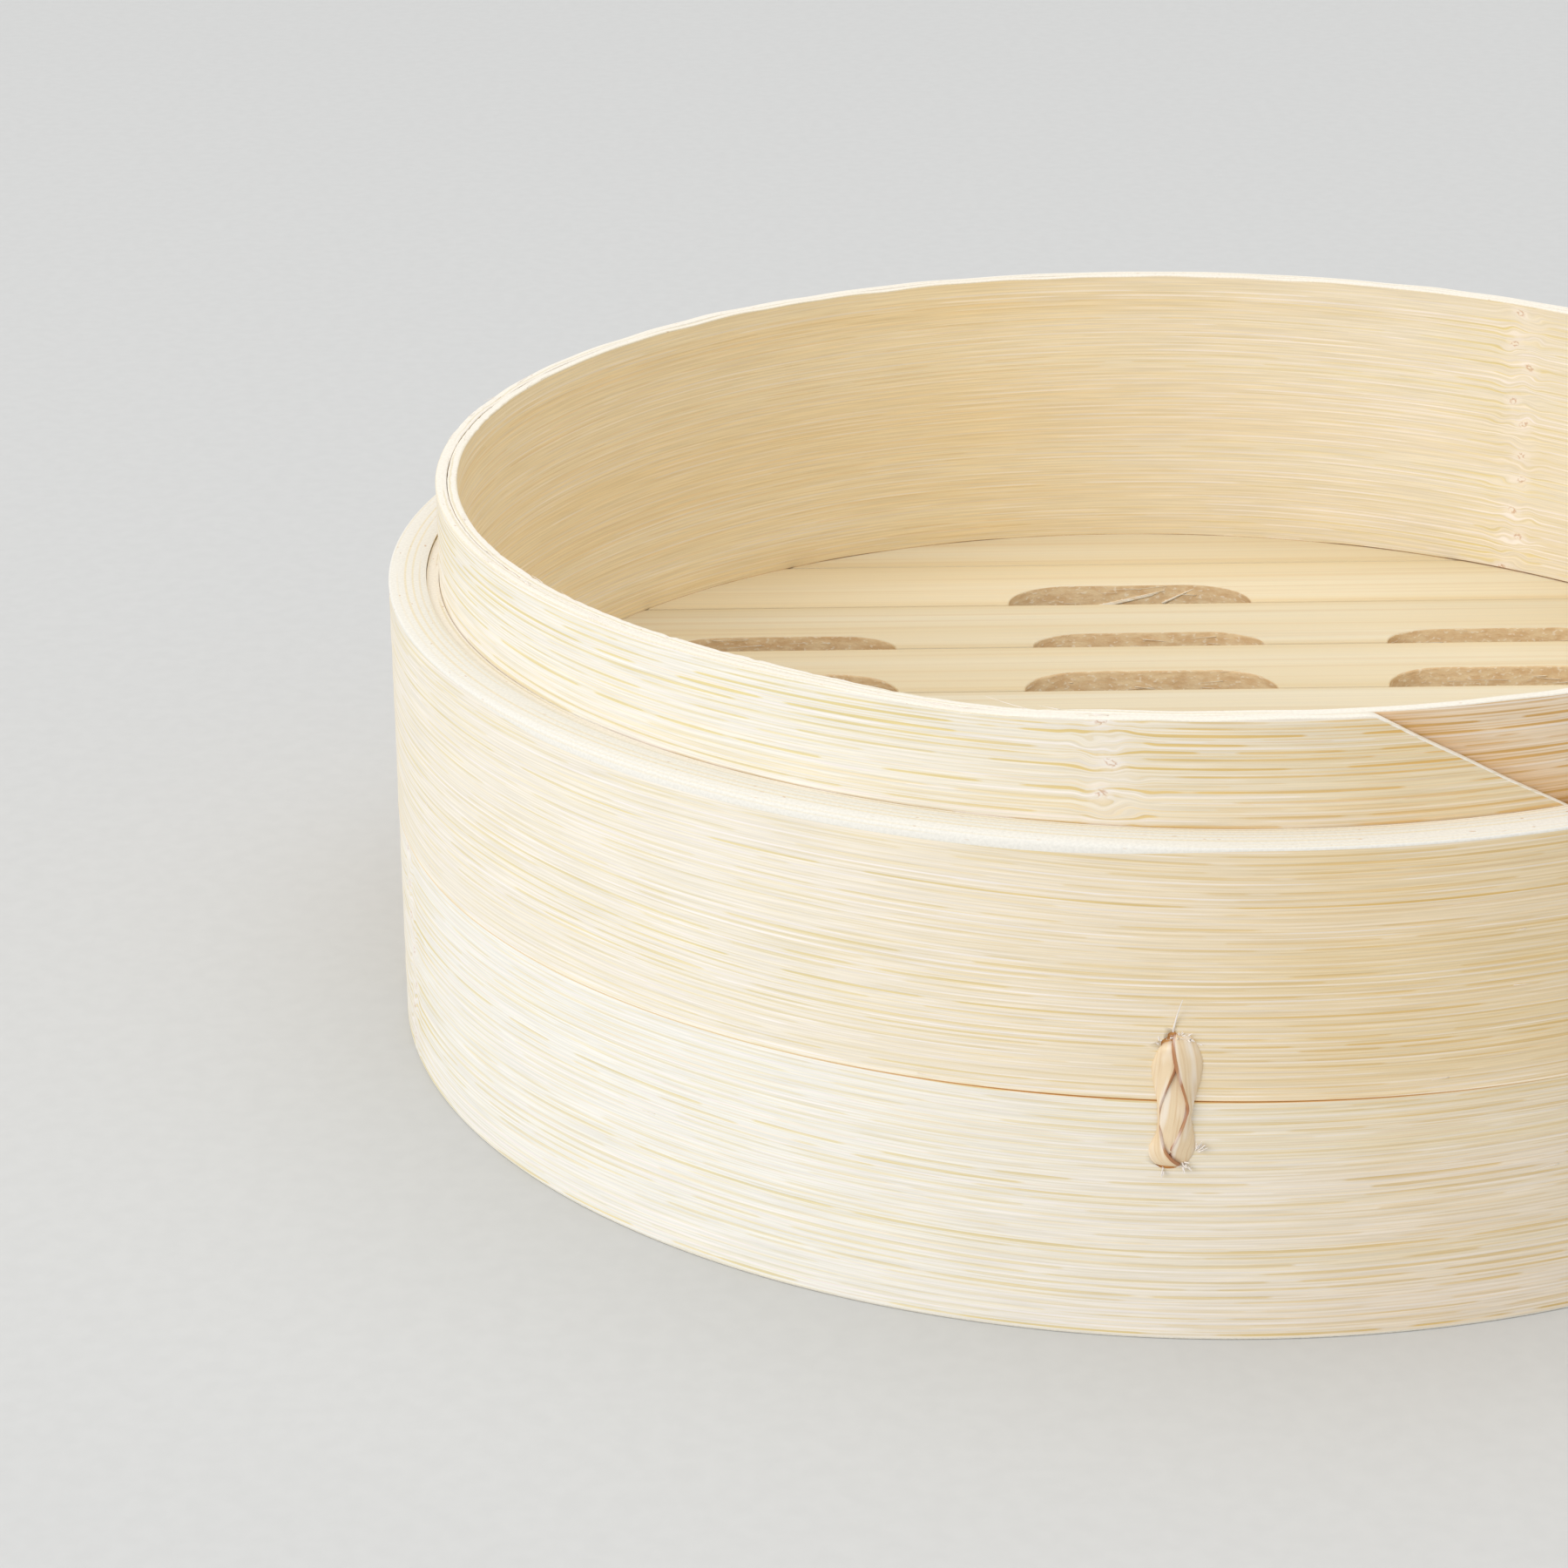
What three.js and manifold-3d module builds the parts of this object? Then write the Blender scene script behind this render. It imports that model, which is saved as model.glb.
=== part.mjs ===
// One tier of a stacking bamboo steamer, in millimetres, +Z up, origin under the middle of its base.
import * as THREE from 'three';
import { mergeVertices } from 'three/addons/utils/BufferGeometryUtils.js';
import Module from 'manifold-3d';

const wasm = await Module();
wasm.setup();

// Overall sizes
const OUTER_DIAMETER = 210;
const SEAM_HEIGHT = 30.2; // top of the lower band
const LEDGE_HEIGHT = 61; // seat of a lid or of the next tier
const NECK_RISE = 12.8; // neck hoop above the ledge
const FLOOR_HEIGHT = 32.3; // top of the slats

// Strips that the walls are bent from
const BAND_THICKNESS = 4.9;
const BAND_EASE = 0.4; // eased outer edges of the bands
const LEDGE_EASE = 1.2; // sanded outer edge of the ledge
const LINER_THICKNESS = 1.2;
const NECK_THICKNESS = 1.3; // one turn of the neck hoop
const FOOT_THICKNESS = 3;

// Joints of the strips, as angles from +X, counter-clockwise from above
const UPPER_LAP = 20;
const LOWER_LAP = 140;
const LAP_SPAN = 24;
const LAP_FEATHER = 0.8; // thickness left at a lapped end
const LINER_JOINT = 110;
const FOOT_JOINT = -20;
const BUTT_GAP = 0.5;
const NECK_INNER_END = 0;
const NECK_CLIMB_START = 325; // where the first turn starts to climb outward
const NECK_CLIMB_SPAN = 30;
const NECK_CUT_START = 637; // slanted outer end, at the rim, near the end of the second turn
const NECK_CUT_SLOPE = 28.8; // degrees between that cut and the rim
const NECK_TIP_HEIGHT = 2;

// Floor slats and their steam slots
const SLAT_COUNT = 11;
const REAR_SLAT = 17.6; // widths of the last slats, rounded to the wall
const FRONT_SLAT = 11.3;
const SLAT_THICKNESS = 4.5;
const SLAT_TURN = 0.6; // the slats lie slightly askew, in degrees
const SLOT_LENGTH = 35;
const SLOT_DEPTH = 7;
const SLOT_ROUND = 8; // length of each rounded end
const SLOT_PITCH = 52.5;
const SLOT_SHIFT = -1.2;
const SLOT_COLUMNS = 3;
const SLOT_MARGIN = 8; // least wood between a slot and the neck hoop

// Crossbars under the slats
const BAR_WIDTH = 14;
const BAR_THICKNESS = 6;
const BAR_CROWN = 1.5; // rounding of the underside

// Cane ties that lace the two bands together
const TIE_ANGLE = -95.2;
const TIE_WIDTH = 5.6;
const TIE_WAIST = 4;
const TIE_SPAN = 16.6; // between the middles of its two holes
const TIE_LEG = 2.4; // height of the strands in a hole
const TIE_THICKNESS = 1.2;

// Clearances
const FIT_GAP = 0.25; // between pieces that touch
const STACK_GAP = 0.4; // above the neck of a tier below

// Facets
const STEP = 3.75; // degrees between the stations of a bent strip
const ROUND_SIDES = 96;
const CURVE_SEGMENTS = 3;

// Radii, from the outside in
const BAND_OUTER = OUTER_DIAMETER / 2;
const BAND_INNER = BAND_OUTER - BAND_THICKNESS;
const LINER_OUTER = BAND_INNER - FIT_GAP;
const LINER_INNER = LINER_OUTER - LINER_THICKNESS;
const NECK_OUTER = LINER_INNER - FIT_GAP;
const NECK_LAYER = NECK_THICKNESS + FIT_GAP;
const NECK_INNER = NECK_OUTER - NECK_LAYER - NECK_THICKNESS;
const SLAT_REACH = LINER_INNER - FIT_GAP;
const FOOT_OUTER = LINER_INNER - FIT_GAP;

// Heights, from the base up
const SOCKET_DEPTH = NECK_RISE + STACK_GAP;
const SLAT_LOW = FLOOR_HEIGHT - SLAT_THICKNESS;
const FOOT_HIGH = SLAT_LOW - FIT_GAP;
const BAR_LOW = FOOT_HIGH - BAR_THICKNESS;
const NECK_LOW = FLOOR_HEIGHT + FIT_GAP;
const RIM_HEIGHT = LEDGE_HEIGHT + NECK_RISE;
const UPPER_LOW = SEAM_HEIGHT + FIT_GAP;
const TIE_MIDDLE = SEAM_HEIGHT + FIT_GAP / 2;

const radians = THREE.MathUtils.degToRad;

// Closed mesh to manifold solid and back
function toSolid(geometry) {
  const bare = geometry.clone();
  bare.deleteAttribute('normal');
  bare.deleteAttribute('uv');
  const merged = mergeVertices(bare);
  const vertProperties = new Float32Array(merged.attributes.position.array);
  const triVerts = new Uint32Array(merged.index.array);
  return new wasm.Manifold(new wasm.Mesh({ numProp: 3, vertProperties, triVerts }));
}

function toGeometry(solid) {
  const mesh = solid.getMesh();
  const geometry = new THREE.BufferGeometry();
  geometry.setAttribute('position', new THREE.BufferAttribute(mesh.vertProperties, 3));
  geometry.setIndex(new THREE.BufferAttribute(mesh.triVerts, 1));
  return geometry;
}

function cut(geometry, cutters) {
  const solids = cutters.map(toSolid);
  return toGeometry(solids.reduce((rest, cutter) => rest.subtract(cutter), toSolid(geometry)));
}

function common(first, second) {
  return toGeometry(toSolid(first).intersect(toSolid(second)));
}

// A strip bent about the Z axis: each station has an angle, two radii and two heights
function bentStrip(stations, lowEase = 0, highEase = 0) {
  const section = ({ inner, outer, low, high }) => {
    const most = (outer - inner) / 2;
    const below = Math.min(lowEase, most);
    const above = Math.min(highEase, most);
    const points = [[inner, low], [outer - below, low]];
    if (below > 0) points.push([outer, low + below]);
    if (above > 0) points.push([outer, high - above]);
    points.push([outer - above, high], [inner, high]);
    return points;
  };
  const rings = stations.map(section);
  const size = rings[0].length;
  const last = (rings.length - 1) * size;
  const positions = [];
  const triangles = [];
  rings.forEach((ring, i) => {
    const angle = radians(stations[i].angle);
    for (const [radius, height] of ring) {
      positions.push(radius * Math.cos(angle), radius * Math.sin(angle), height);
    }
  });
  for (let base = 0; base < last; base += size) {
    for (let j = 0; j < size; j += 1) {
      const a = base + j;
      const b = base + (j + 1) % size;
      triangles.push(a, a + size, b, b, a + size, b + size);
    }
  }
  for (let j = 1; j < size - 1; j += 1) {
    triangles.push(0, j, j + 1, last, last + j + 1, last + j);
  }
  const geometry = new THREE.BufferGeometry();
  geometry.setAttribute('position', new THREE.Float32BufferAttribute(positions, 3));
  geometry.setIndex(triangles);
  return geometry;
}

function stationAngles(start, end) {
  const count = Math.round((end - start) / STEP);
  return Array.from({ length: count + 1 }, (_, i) => start + ((end - start) * i) / count);
}

// A thick band whose two ends lap each other on a long slant
function bandGeometry(low, high, lapAngle, lowEase, highEase) {
  const split = (turn) => BAND_INNER + (BAND_THICKNESS * turn) / LAP_SPAN;
  const feathered = LAP_SPAN * ((LAP_FEATHER + FIT_GAP / 2) / BAND_THICKNESS);
  const turns = stationAngles(feathered, 360 + LAP_SPAN - feathered);
  const stations = turns.map((turn) => ({
    angle: lapAngle + turn,
    inner: Math.max(BAND_INNER, split(turn - 360) + FIT_GAP / 2),
    outer: Math.min(BAND_OUTER, split(turn) - FIT_GAP / 2),
    low,
    high,
  }));
  return bentStrip(stations, lowEase, highEase);
}

// A single turn whose ends butt with a small gap
function hoopGeometry(inner, outer, low, high, jointAngle) {
  const half = THREE.MathUtils.radToDeg(BUTT_GAP / 2 / outer);
  const angles = stationAngles(jointAngle + half, jointAngle + 360 - half);
  return bentStrip(angles.map((angle) => ({ angle, inner, outer, low, high })));
}

// The neck strip: an inner turn, a climb and an outer turn that ends in a slanted cut
function neckGeometry() {
  const drop = Math.tan(radians(NECK_CUT_SLOPE)) * radians(1) * NECK_OUTER;
  const cutSpan = (RIM_HEIGHT - NECK_LOW - NECK_TIP_HEIGHT) / drop;
  const climbEnd = NECK_CLIMB_START + NECK_CLIMB_SPAN;
  const angles = [
    ...stationAngles(NECK_INNER_END, NECK_CLIMB_START),
    ...stationAngles(NECK_CLIMB_START, climbEnd).slice(1),
    ...stationAngles(climbEnd, NECK_CUT_START).slice(1),
    ...stationAngles(NECK_CUT_START, NECK_CUT_START + cutSpan).slice(1),
  ];
  const stations = angles.map((angle) => {
    const climb = THREE.MathUtils.clamp((angle - NECK_CLIMB_START) / NECK_CLIMB_SPAN, 0, 1);
    const outer = NECK_OUTER - NECK_LAYER * (1 - climb);
    const fall = drop * Math.max(0, angle - NECK_CUT_START);
    return { angle, inner: outer - NECK_THICKNESS, outer, low: NECK_LOW, high: RIM_HEIGHT - fall };
  });
  return bentStrip(stations);
}

// A bar through the whole tier, used to cut opposite holes
function throughBar(width, low, high, turnDegrees, offset = 0) {
  const bar = new THREE.BoxGeometry(width, OUTER_DIAMETER * 2, high - low);
  bar.translate(offset, 0, (low + high) / 2);
  return bar.rotateZ(radians(turnDegrees));
}

const tieTurn = TIE_ANGLE - 90;
const tieHoleWidth = TIE_WIDTH + 2 * FIT_GAP;

function tieHole(middle) {
  const half = TIE_LEG / 2 + FIT_GAP;
  return throughBar(tieHoleWidth, middle - half, middle + half, tieTurn);
}

function upperBandGeometry() {
  const band = bandGeometry(UPPER_LOW, LEDGE_HEIGHT, UPPER_LAP, BAND_EASE, LEDGE_EASE);
  return cut(band, [tieHole(TIE_MIDDLE + TIE_SPAN / 2)]);
}

function lowerBandGeometry() {
  const band = bandGeometry(0, SEAM_HEIGHT, LOWER_LAP, BAND_EASE, BAND_EASE);
  return cut(band, [tieHole(TIE_MIDDLE - TIE_SPAN / 2)]);
}

// The liner has a window at each tie, where the inner run of the cane lies
function linerGeometry() {
  const hoop = hoopGeometry(LINER_INNER, LINER_OUTER, SOCKET_DEPTH, LEDGE_HEIGHT, LINER_JOINT);
  const reach = (TIE_SPAN + TIE_LEG) / 2 + FIT_GAP;
  return cut(hoop, [throughBar(tieHoleWidth, TIE_MIDDLE - reach, TIE_MIDDLE + reach, tieTurn)]);
}

// Crossbars lie under the whole wood between the columns of slots
const slotColumns = Array.from(
  { length: SLOT_COLUMNS },
  (_, i) => SLOT_SHIFT + SLOT_PITCH * (i - (SLOT_COLUMNS - 1) / 2),
);
const barPlaces = slotColumns.slice(1).map((column) => column - SLOT_PITCH / 2);

function footGeometry() {
  const hoop = hoopGeometry(FOOT_OUTER - FOOT_THICKNESS, FOOT_OUTER, SOCKET_DEPTH, FOOT_HIGH, FOOT_JOINT);
  const notchWidth = BAR_WIDTH + 2 * FIT_GAP;
  const notchHigh = FOOT_HIGH + BAR_THICKNESS;
  const notches = barPlaces.map(
    (place) => throughBar(notchWidth, BAR_LOW - FIT_GAP, notchHigh, SLAT_TURN, place),
  );
  return cut(hoop, notches);
}

function roundClip(low, high) {
  const clip = new THREE.CylinderGeometry(SLAT_REACH, SLAT_REACH, high - low, ROUND_SIDES);
  return clip.rotateX(Math.PI / 2).translate(0, 0, (low + high) / 2);
}

// A crossbar: flat on top, crowned underneath, its ends rounded to the liner
function crossbarGeometry(place) {
  const half = BAR_WIDTH / 2;
  const shape = new THREE.Shape();
  shape.moveTo(-half, BAR_CROWN);
  shape.quadraticCurveTo(0, -BAR_CROWN, half, BAR_CROWN);
  shape.lineTo(half, BAR_THICKNESS);
  shape.lineTo(-half, BAR_THICKNESS);
  shape.closePath();
  const options = { depth: 2 * SLAT_REACH, bevelEnabled: false, curveSegments: 2 * CURVE_SEGMENTS };
  const bar = new THREE.ExtrudeGeometry(shape, options);
  bar.translate(0, 0, -SLAT_REACH).rotateX(Math.PI / 2).translate(place, 0, BAR_LOW);
  return common(bar, roundClip(BAR_LOW - FIT_GAP, FOOT_HIGH + FIT_GAP));
}

// Joints between slats, from the rear to the front: those between the last slats are of one width
function slatJoints() {
  const first = SLAT_REACH - REAR_SLAT;
  const pitch = (first + SLAT_REACH - FRONT_SLAT) / (SLAT_COUNT - 2);
  return Array.from({ length: SLAT_COUNT - 1 }, (_, i) => first - i * pitch);
}

function slotFits(column, edge) {
  const across = Math.abs(column) + SLOT_LENGTH / 2;
  const tip = Math.hypot(across, edge);
  const back = Math.hypot(across - SLOT_ROUND, edge + SLOT_DEPTH);
  return Math.max(tip, back) < NECK_INNER - SLOT_MARGIN;
}

// A slat between two joints, with the slots that fit cut into its front edge
function slatGeometry(rear, front) {
  const back = rear - FIT_GAP / 2;
  const edge = front + FIT_GAP / 2;
  const shape = new THREE.Shape();
  shape.moveTo(-SLAT_REACH, edge);
  for (const column of slotColumns.filter((place) => slotFits(place, front))) {
    const left = column - SLOT_LENGTH / 2;
    const right = column + SLOT_LENGTH / 2;
    shape.lineTo(left, edge);
    shape.absellipse(left + SLOT_ROUND, edge, SLOT_ROUND, SLOT_DEPTH, Math.PI, Math.PI / 2, true);
    shape.lineTo(right - SLOT_ROUND, edge + SLOT_DEPTH);
    shape.absellipse(right - SLOT_ROUND, edge, SLOT_ROUND, SLOT_DEPTH, Math.PI / 2, 0, true);
  }
  shape.lineTo(SLAT_REACH, edge);
  shape.lineTo(SLAT_REACH, back);
  shape.lineTo(-SLAT_REACH, back);
  shape.closePath();
  const options = { depth: SLAT_THICKNESS, bevelEnabled: false, curveSegments: CURVE_SEGMENTS };
  const slat = new THREE.ExtrudeGeometry(shape, options).translate(0, 0, SLAT_LOW);
  return common(slat, roundClip(SLAT_LOW - FIT_GAP, FLOOR_HEIGHT + FIT_GAP));
}

// A tie: a flat closed link through both bands, drawn in at the seam
function tieGeometry() {
  const high = (TIE_SPAN + TIE_LEG) / 2;
  const low = (TIE_SPAN - TIE_LEG) / 2;
  const outline = new THREE.Shape();
  const face = BAND_OUTER + FIT_GAP;
  outline.moveTo(LINER_INNER, -high);
  outline.lineTo(face + TIE_THICKNESS, -high);
  outline.lineTo(face + TIE_THICKNESS, high);
  outline.lineTo(LINER_INNER, high);
  outline.closePath();
  const eye = new THREE.Path();
  eye.moveTo(LINER_OUTER, -low);
  eye.lineTo(LINER_OUTER, low);
  eye.lineTo(face, low);
  eye.lineTo(face, -low);
  eye.closePath();
  outline.holes.push(eye);
  const link = new THREE.ExtrudeGeometry(outline, { depth: TIE_WIDTH, bevelEnabled: false });
  link.translate(0, 0, -TIE_WIDTH / 2);
  const across = new THREE.Vector3(1, 0, 0);
  const outward = new THREE.Vector3(0, 1, 0);
  const upward = new THREE.Vector3(0, 0, 1);
  link.applyMatrix4(new THREE.Matrix4().makeBasis(outward, upward, across));

  const half = TIE_WIDTH / 2;
  const pull = TIE_WAIST - half;
  const waisted = new THREE.Shape();
  waisted.moveTo(-half, -high);
  waisted.lineTo(half, -high);
  waisted.quadraticCurveTo(pull, 0, half, high);
  waisted.lineTo(-half, high);
  waisted.quadraticCurveTo(-pull, 0, -half, -high);
  const options = { depth: OUTER_DIAMETER, bevelEnabled: false, curveSegments: 4 * CURVE_SEGMENTS };
  const slab = new THREE.ExtrudeGeometry(waisted, options);
  slab.applyMatrix4(new THREE.Matrix4().makeBasis(across, upward, outward.clone().negate()));
  slab.translate(0, OUTER_DIAMETER, 0);
  return common(link, slab);
}

// Materials, by what each piece is cut from
function bamboo(color, roughness) {
  return new THREE.MeshStandardMaterial({ color, roughness, metalness: 0 });
}
const neckBamboo = bamboo('#eadcb8', 0.6);
const upperBamboo = bamboo('#e6d5ab', 0.6);
const lowerBamboo = bamboo('#eee4cb', 0.6);
const hiddenBamboo = bamboo('#d9c398', 0.65);
const slatBamboo = bamboo('#dfc894', 0.6);
const cane = bamboo('#d6b98c', 0.55);

function piece(name, geometry, material) {
  const mesh = new THREE.Mesh(geometry, material);
  mesh.name = name;
  return mesh;
}

const steamer = new THREE.Group();
steamer.add(
  piece('neck_hoop', neckGeometry(), neckBamboo),
  piece('liner_hoop', linerGeometry(), hiddenBamboo),
  piece('upper_band', upperBandGeometry(), upperBamboo),
  piece('lower_band', lowerBandGeometry(), lowerBamboo),
  piece('foot_hoop', footGeometry(), hiddenBamboo),
);

const deck = new THREE.Group();
deck.rotation.z = radians(SLAT_TURN);
steamer.add(deck);
const edges = [SLAT_REACH + REAR_SLAT, ...slatJoints(), -SLAT_REACH - FRONT_SLAT];
for (let i = 0; i < edges.length - 1; i += 1) {
  const number = String(i + 1).padStart(2, '0');
  deck.add(piece(`slat_${number}`, slatGeometry(edges[i], edges[i + 1]), slatBamboo));
}
barPlaces.forEach((place, i) => {
  deck.add(piece(`crossbar_${i + 1}`, crossbarGeometry(place), hiddenBamboo));
});

['front_tie', 'rear_tie'].forEach((name, i) => {
  const tie = piece(name, tieGeometry(), cane);
  tie.rotation.z = radians(tieTurn) + i * Math.PI;
  tie.position.z = TIE_MIDDLE;
  steamer.add(tie);
});

export default steamer;
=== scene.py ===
"""Looks of one tier of a stacking bamboo steamer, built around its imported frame, in metres."""

import math
import random
from collections import namedtuple

import bmesh
import bpy
from bpy.props import FloatProperty, FloatVectorProperty, PointerProperty
from mathutils import Matrix, Vector, noise


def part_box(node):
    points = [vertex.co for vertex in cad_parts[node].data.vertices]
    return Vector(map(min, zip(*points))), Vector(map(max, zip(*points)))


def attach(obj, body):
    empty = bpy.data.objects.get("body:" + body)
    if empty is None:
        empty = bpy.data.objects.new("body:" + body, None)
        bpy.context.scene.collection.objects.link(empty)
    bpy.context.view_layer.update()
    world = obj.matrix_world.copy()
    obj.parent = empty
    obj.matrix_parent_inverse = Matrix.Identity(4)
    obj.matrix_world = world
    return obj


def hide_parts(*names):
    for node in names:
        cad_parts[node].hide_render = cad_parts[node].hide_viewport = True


bl_info = {
    "name": "Bamboo steamer tier",
    "version": (1, 0, 0),
    "blender": (4, 5, 0),
    "location": "View3D > Sidebar > Steamer",
    "description": "Dresses a stacking bamboo steamer tier with bent strips, planed slats and cane ties",
    "category": "Object",
}

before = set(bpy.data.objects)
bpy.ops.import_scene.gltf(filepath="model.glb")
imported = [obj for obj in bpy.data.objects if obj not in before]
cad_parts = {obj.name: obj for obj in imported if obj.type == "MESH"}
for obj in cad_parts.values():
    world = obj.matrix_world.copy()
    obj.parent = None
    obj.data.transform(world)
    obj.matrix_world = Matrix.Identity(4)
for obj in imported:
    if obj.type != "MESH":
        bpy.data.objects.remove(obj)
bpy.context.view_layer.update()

MM = 0.001
GRAIN = "grain"  # UV map in metres: along the fibres, then across them

Station = namedtuple("Station", "angle inner outer low high")
StripLook = namedtuple(
    "StripLook",
    "ground straw line faded seed spacing contrast first_node internode girth "
    "fade sun_side bare_from stain white_below")


def linear(hex_colour):
    """An sRGB hex colour as linear red, green and blue."""
    values = [int(hex_colour[i:i + 2], 16) / 255 for i in (1, 3, 5)]
    return [v / 12.92 if v <= 0.04045 else ((v + 0.055) / 1.055) ** 2.4 for v in values]


def length(name, description, millimetres):
    """A length property, given in millimetres."""
    return FloatProperty(name=name, description=description, default=millimetres * MM, unit="LENGTH")


def angle(name, description, degrees):
    """An angle property, given in degrees."""
    return FloatProperty(name=name, description=description, default=math.radians(degrees), subtype="ANGLE")


def colour(name, description, hex_colour):
    """A colour property, given as an sRGB hex value."""
    return FloatVectorProperty(
        name=name, description=description, default=linear(hex_colour), subtype="COLOR", min=0, max=1)


class SteamerSizes(bpy.types.PropertyGroup):
    """Sizes of the strips, slats and ties that the frame does not give"""
    edge_ease: length("Edge ease", "Rounding of a strip's long edges", 0.3)
    rim_ease: length("Rim ease", "Rounding of the thin strips' edges", 0.2)
    ledge_ease: length("Ledge ease", "Sanded outer edge of the ledge", 0.35)
    ledge_worn: length("Ledge wear", "How much more the ledge's edge is sanded where it is most worn", 1.05)
    ledge_worn_at: angle("Ledge wear place", "Where the ledge's edge is most worn", -122)
    liner_drop: length("Liner drop", "How far the liner's top lies below the ledge", 0.35)
    fit_gap: length("Fit gap", "Gap between hoops that are driven into each other", 0.01)
    ridge: length("Fibre ridges", "Height of the fibre ridges on a split face", 0.05)
    neck_thickness: length("Neck thickness", "One turn of the neck strip", 1.3)
    layer_gap: length("Layer gap", "Gap between the two turns of the neck", 0.05)
    seam_gap: length("Seam gap", "Widest gap between the upper and the lower band", 0.12)
    seam_ease: length("Seam ease", "Rounding of edges that meet closely", 0.07)
    lap_feather: length("Lap feather", "Thickness left at the lapped end of a band", 0.8)
    rim_wear: length("Rim wear", "Unevenness of the neck's rim", 0.2)
    neck_climb_start: angle("Climb start", "Where the neck's first turn starts to climb outward", 325)
    neck_climb_span: angle("Climb span", "Turn over which the neck strip climbs one layer", 30)
    neck_cut_start: angle("Neck cut", "Where the slanted outer end starts at the rim", 637)
    neck_cut_slope: angle("Cut slope", "Angle between the slanted end and the rim", 28.8)
    rim_dip: length("Rim dip", "How far the rim falls at its lowest stretch", 0.9)
    rim_dip_at: angle("Rim dip place", "Where the rim is lowest", -109)
    foot_gap: length("Foot gap", "Widest gap between the neck's foot and the slats", 0.15)
    foot_ease: length("Foot ease", "Rounding of the neck's foot", 0.04)
    rim_chips: length("Rim chips", "Depth of the chips in the rim's sunned stretch", 0.25)
    neck_lift: angle("Neck lift", "Where the neck stands clear of the slats", 20)
    neck_tip: length("Neck tip", "Height left at the end of the slanted cut", 2)
    upper_lap: angle("Upper lap", "Where the upper band's ends lap", 20)
    lower_lap: angle("Lower lap", "Where the lower band's ends lap", 140)
    lap_span: angle("Lap span", "Turn over which a band's ends lap", 24)
    liner_joint: angle("Liner joint", "Where the liner's ends meet", 110)
    foot_joint: angle("Foot joint", "Where the foot hoop's ends meet", -20)
    butt_gap: length("Butt gap", "Gap between the ends of a hoop", 0.4)
    slat_turn: angle("Slat turn", "How far the slats lie askew", 0.6)
    slat_ease: length("Slat ease", "Rounding of a slat's edges", 0.3)
    slat_gap: length("Slat gap", "How far a slat's edge stays clear of its joint", 0.08)
    slot_slope: length("Slot slope", "How far a slot's foot lies before its upper edge", 2)
    slat_step: length("Slat step", "Height difference between neighbouring slats", 0.05)
    slot_length: length("Slot length", "Steam slot along a slat", 35)
    slot_round: length("Slot round", "Rounded end of a steam slot", 9)
    slot_depth: length("Slot depth", "How far a slot is cut into a slat", 7.2)
    slot_waver: length("Slot waver", "Unevenness of a slot's sawn back", 0.25)
    slot_pitch: length("Slot pitch", "Distance between the columns of slots", 52.5)
    slot_shift: length("Slot shift", "Middle column of slots off the middle", -1.2)
    slot_margin: length("Slot margin", "Least wood between a slot and the neck", 8)
    bar_crown: length("Crossbar crown", "Rounding of a crossbar's underside", 1.5)
    tie_angle: angle("Tie angle", "Where the front tie stands", -95.2)
    tie_middle: length("Tie middle", "Height of the ties' middles", 30.325)
    cane_thickness: length("Cane thickness", "Thickness of a split cane strand", 0.55)
    crater_depth: length("Crater depth", "Depth of the torn wood round a tie hole", 0.3)
    fibre_radius: length("Fibre radius", "Thickness of a torn fibre, halved", 0.075)


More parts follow.
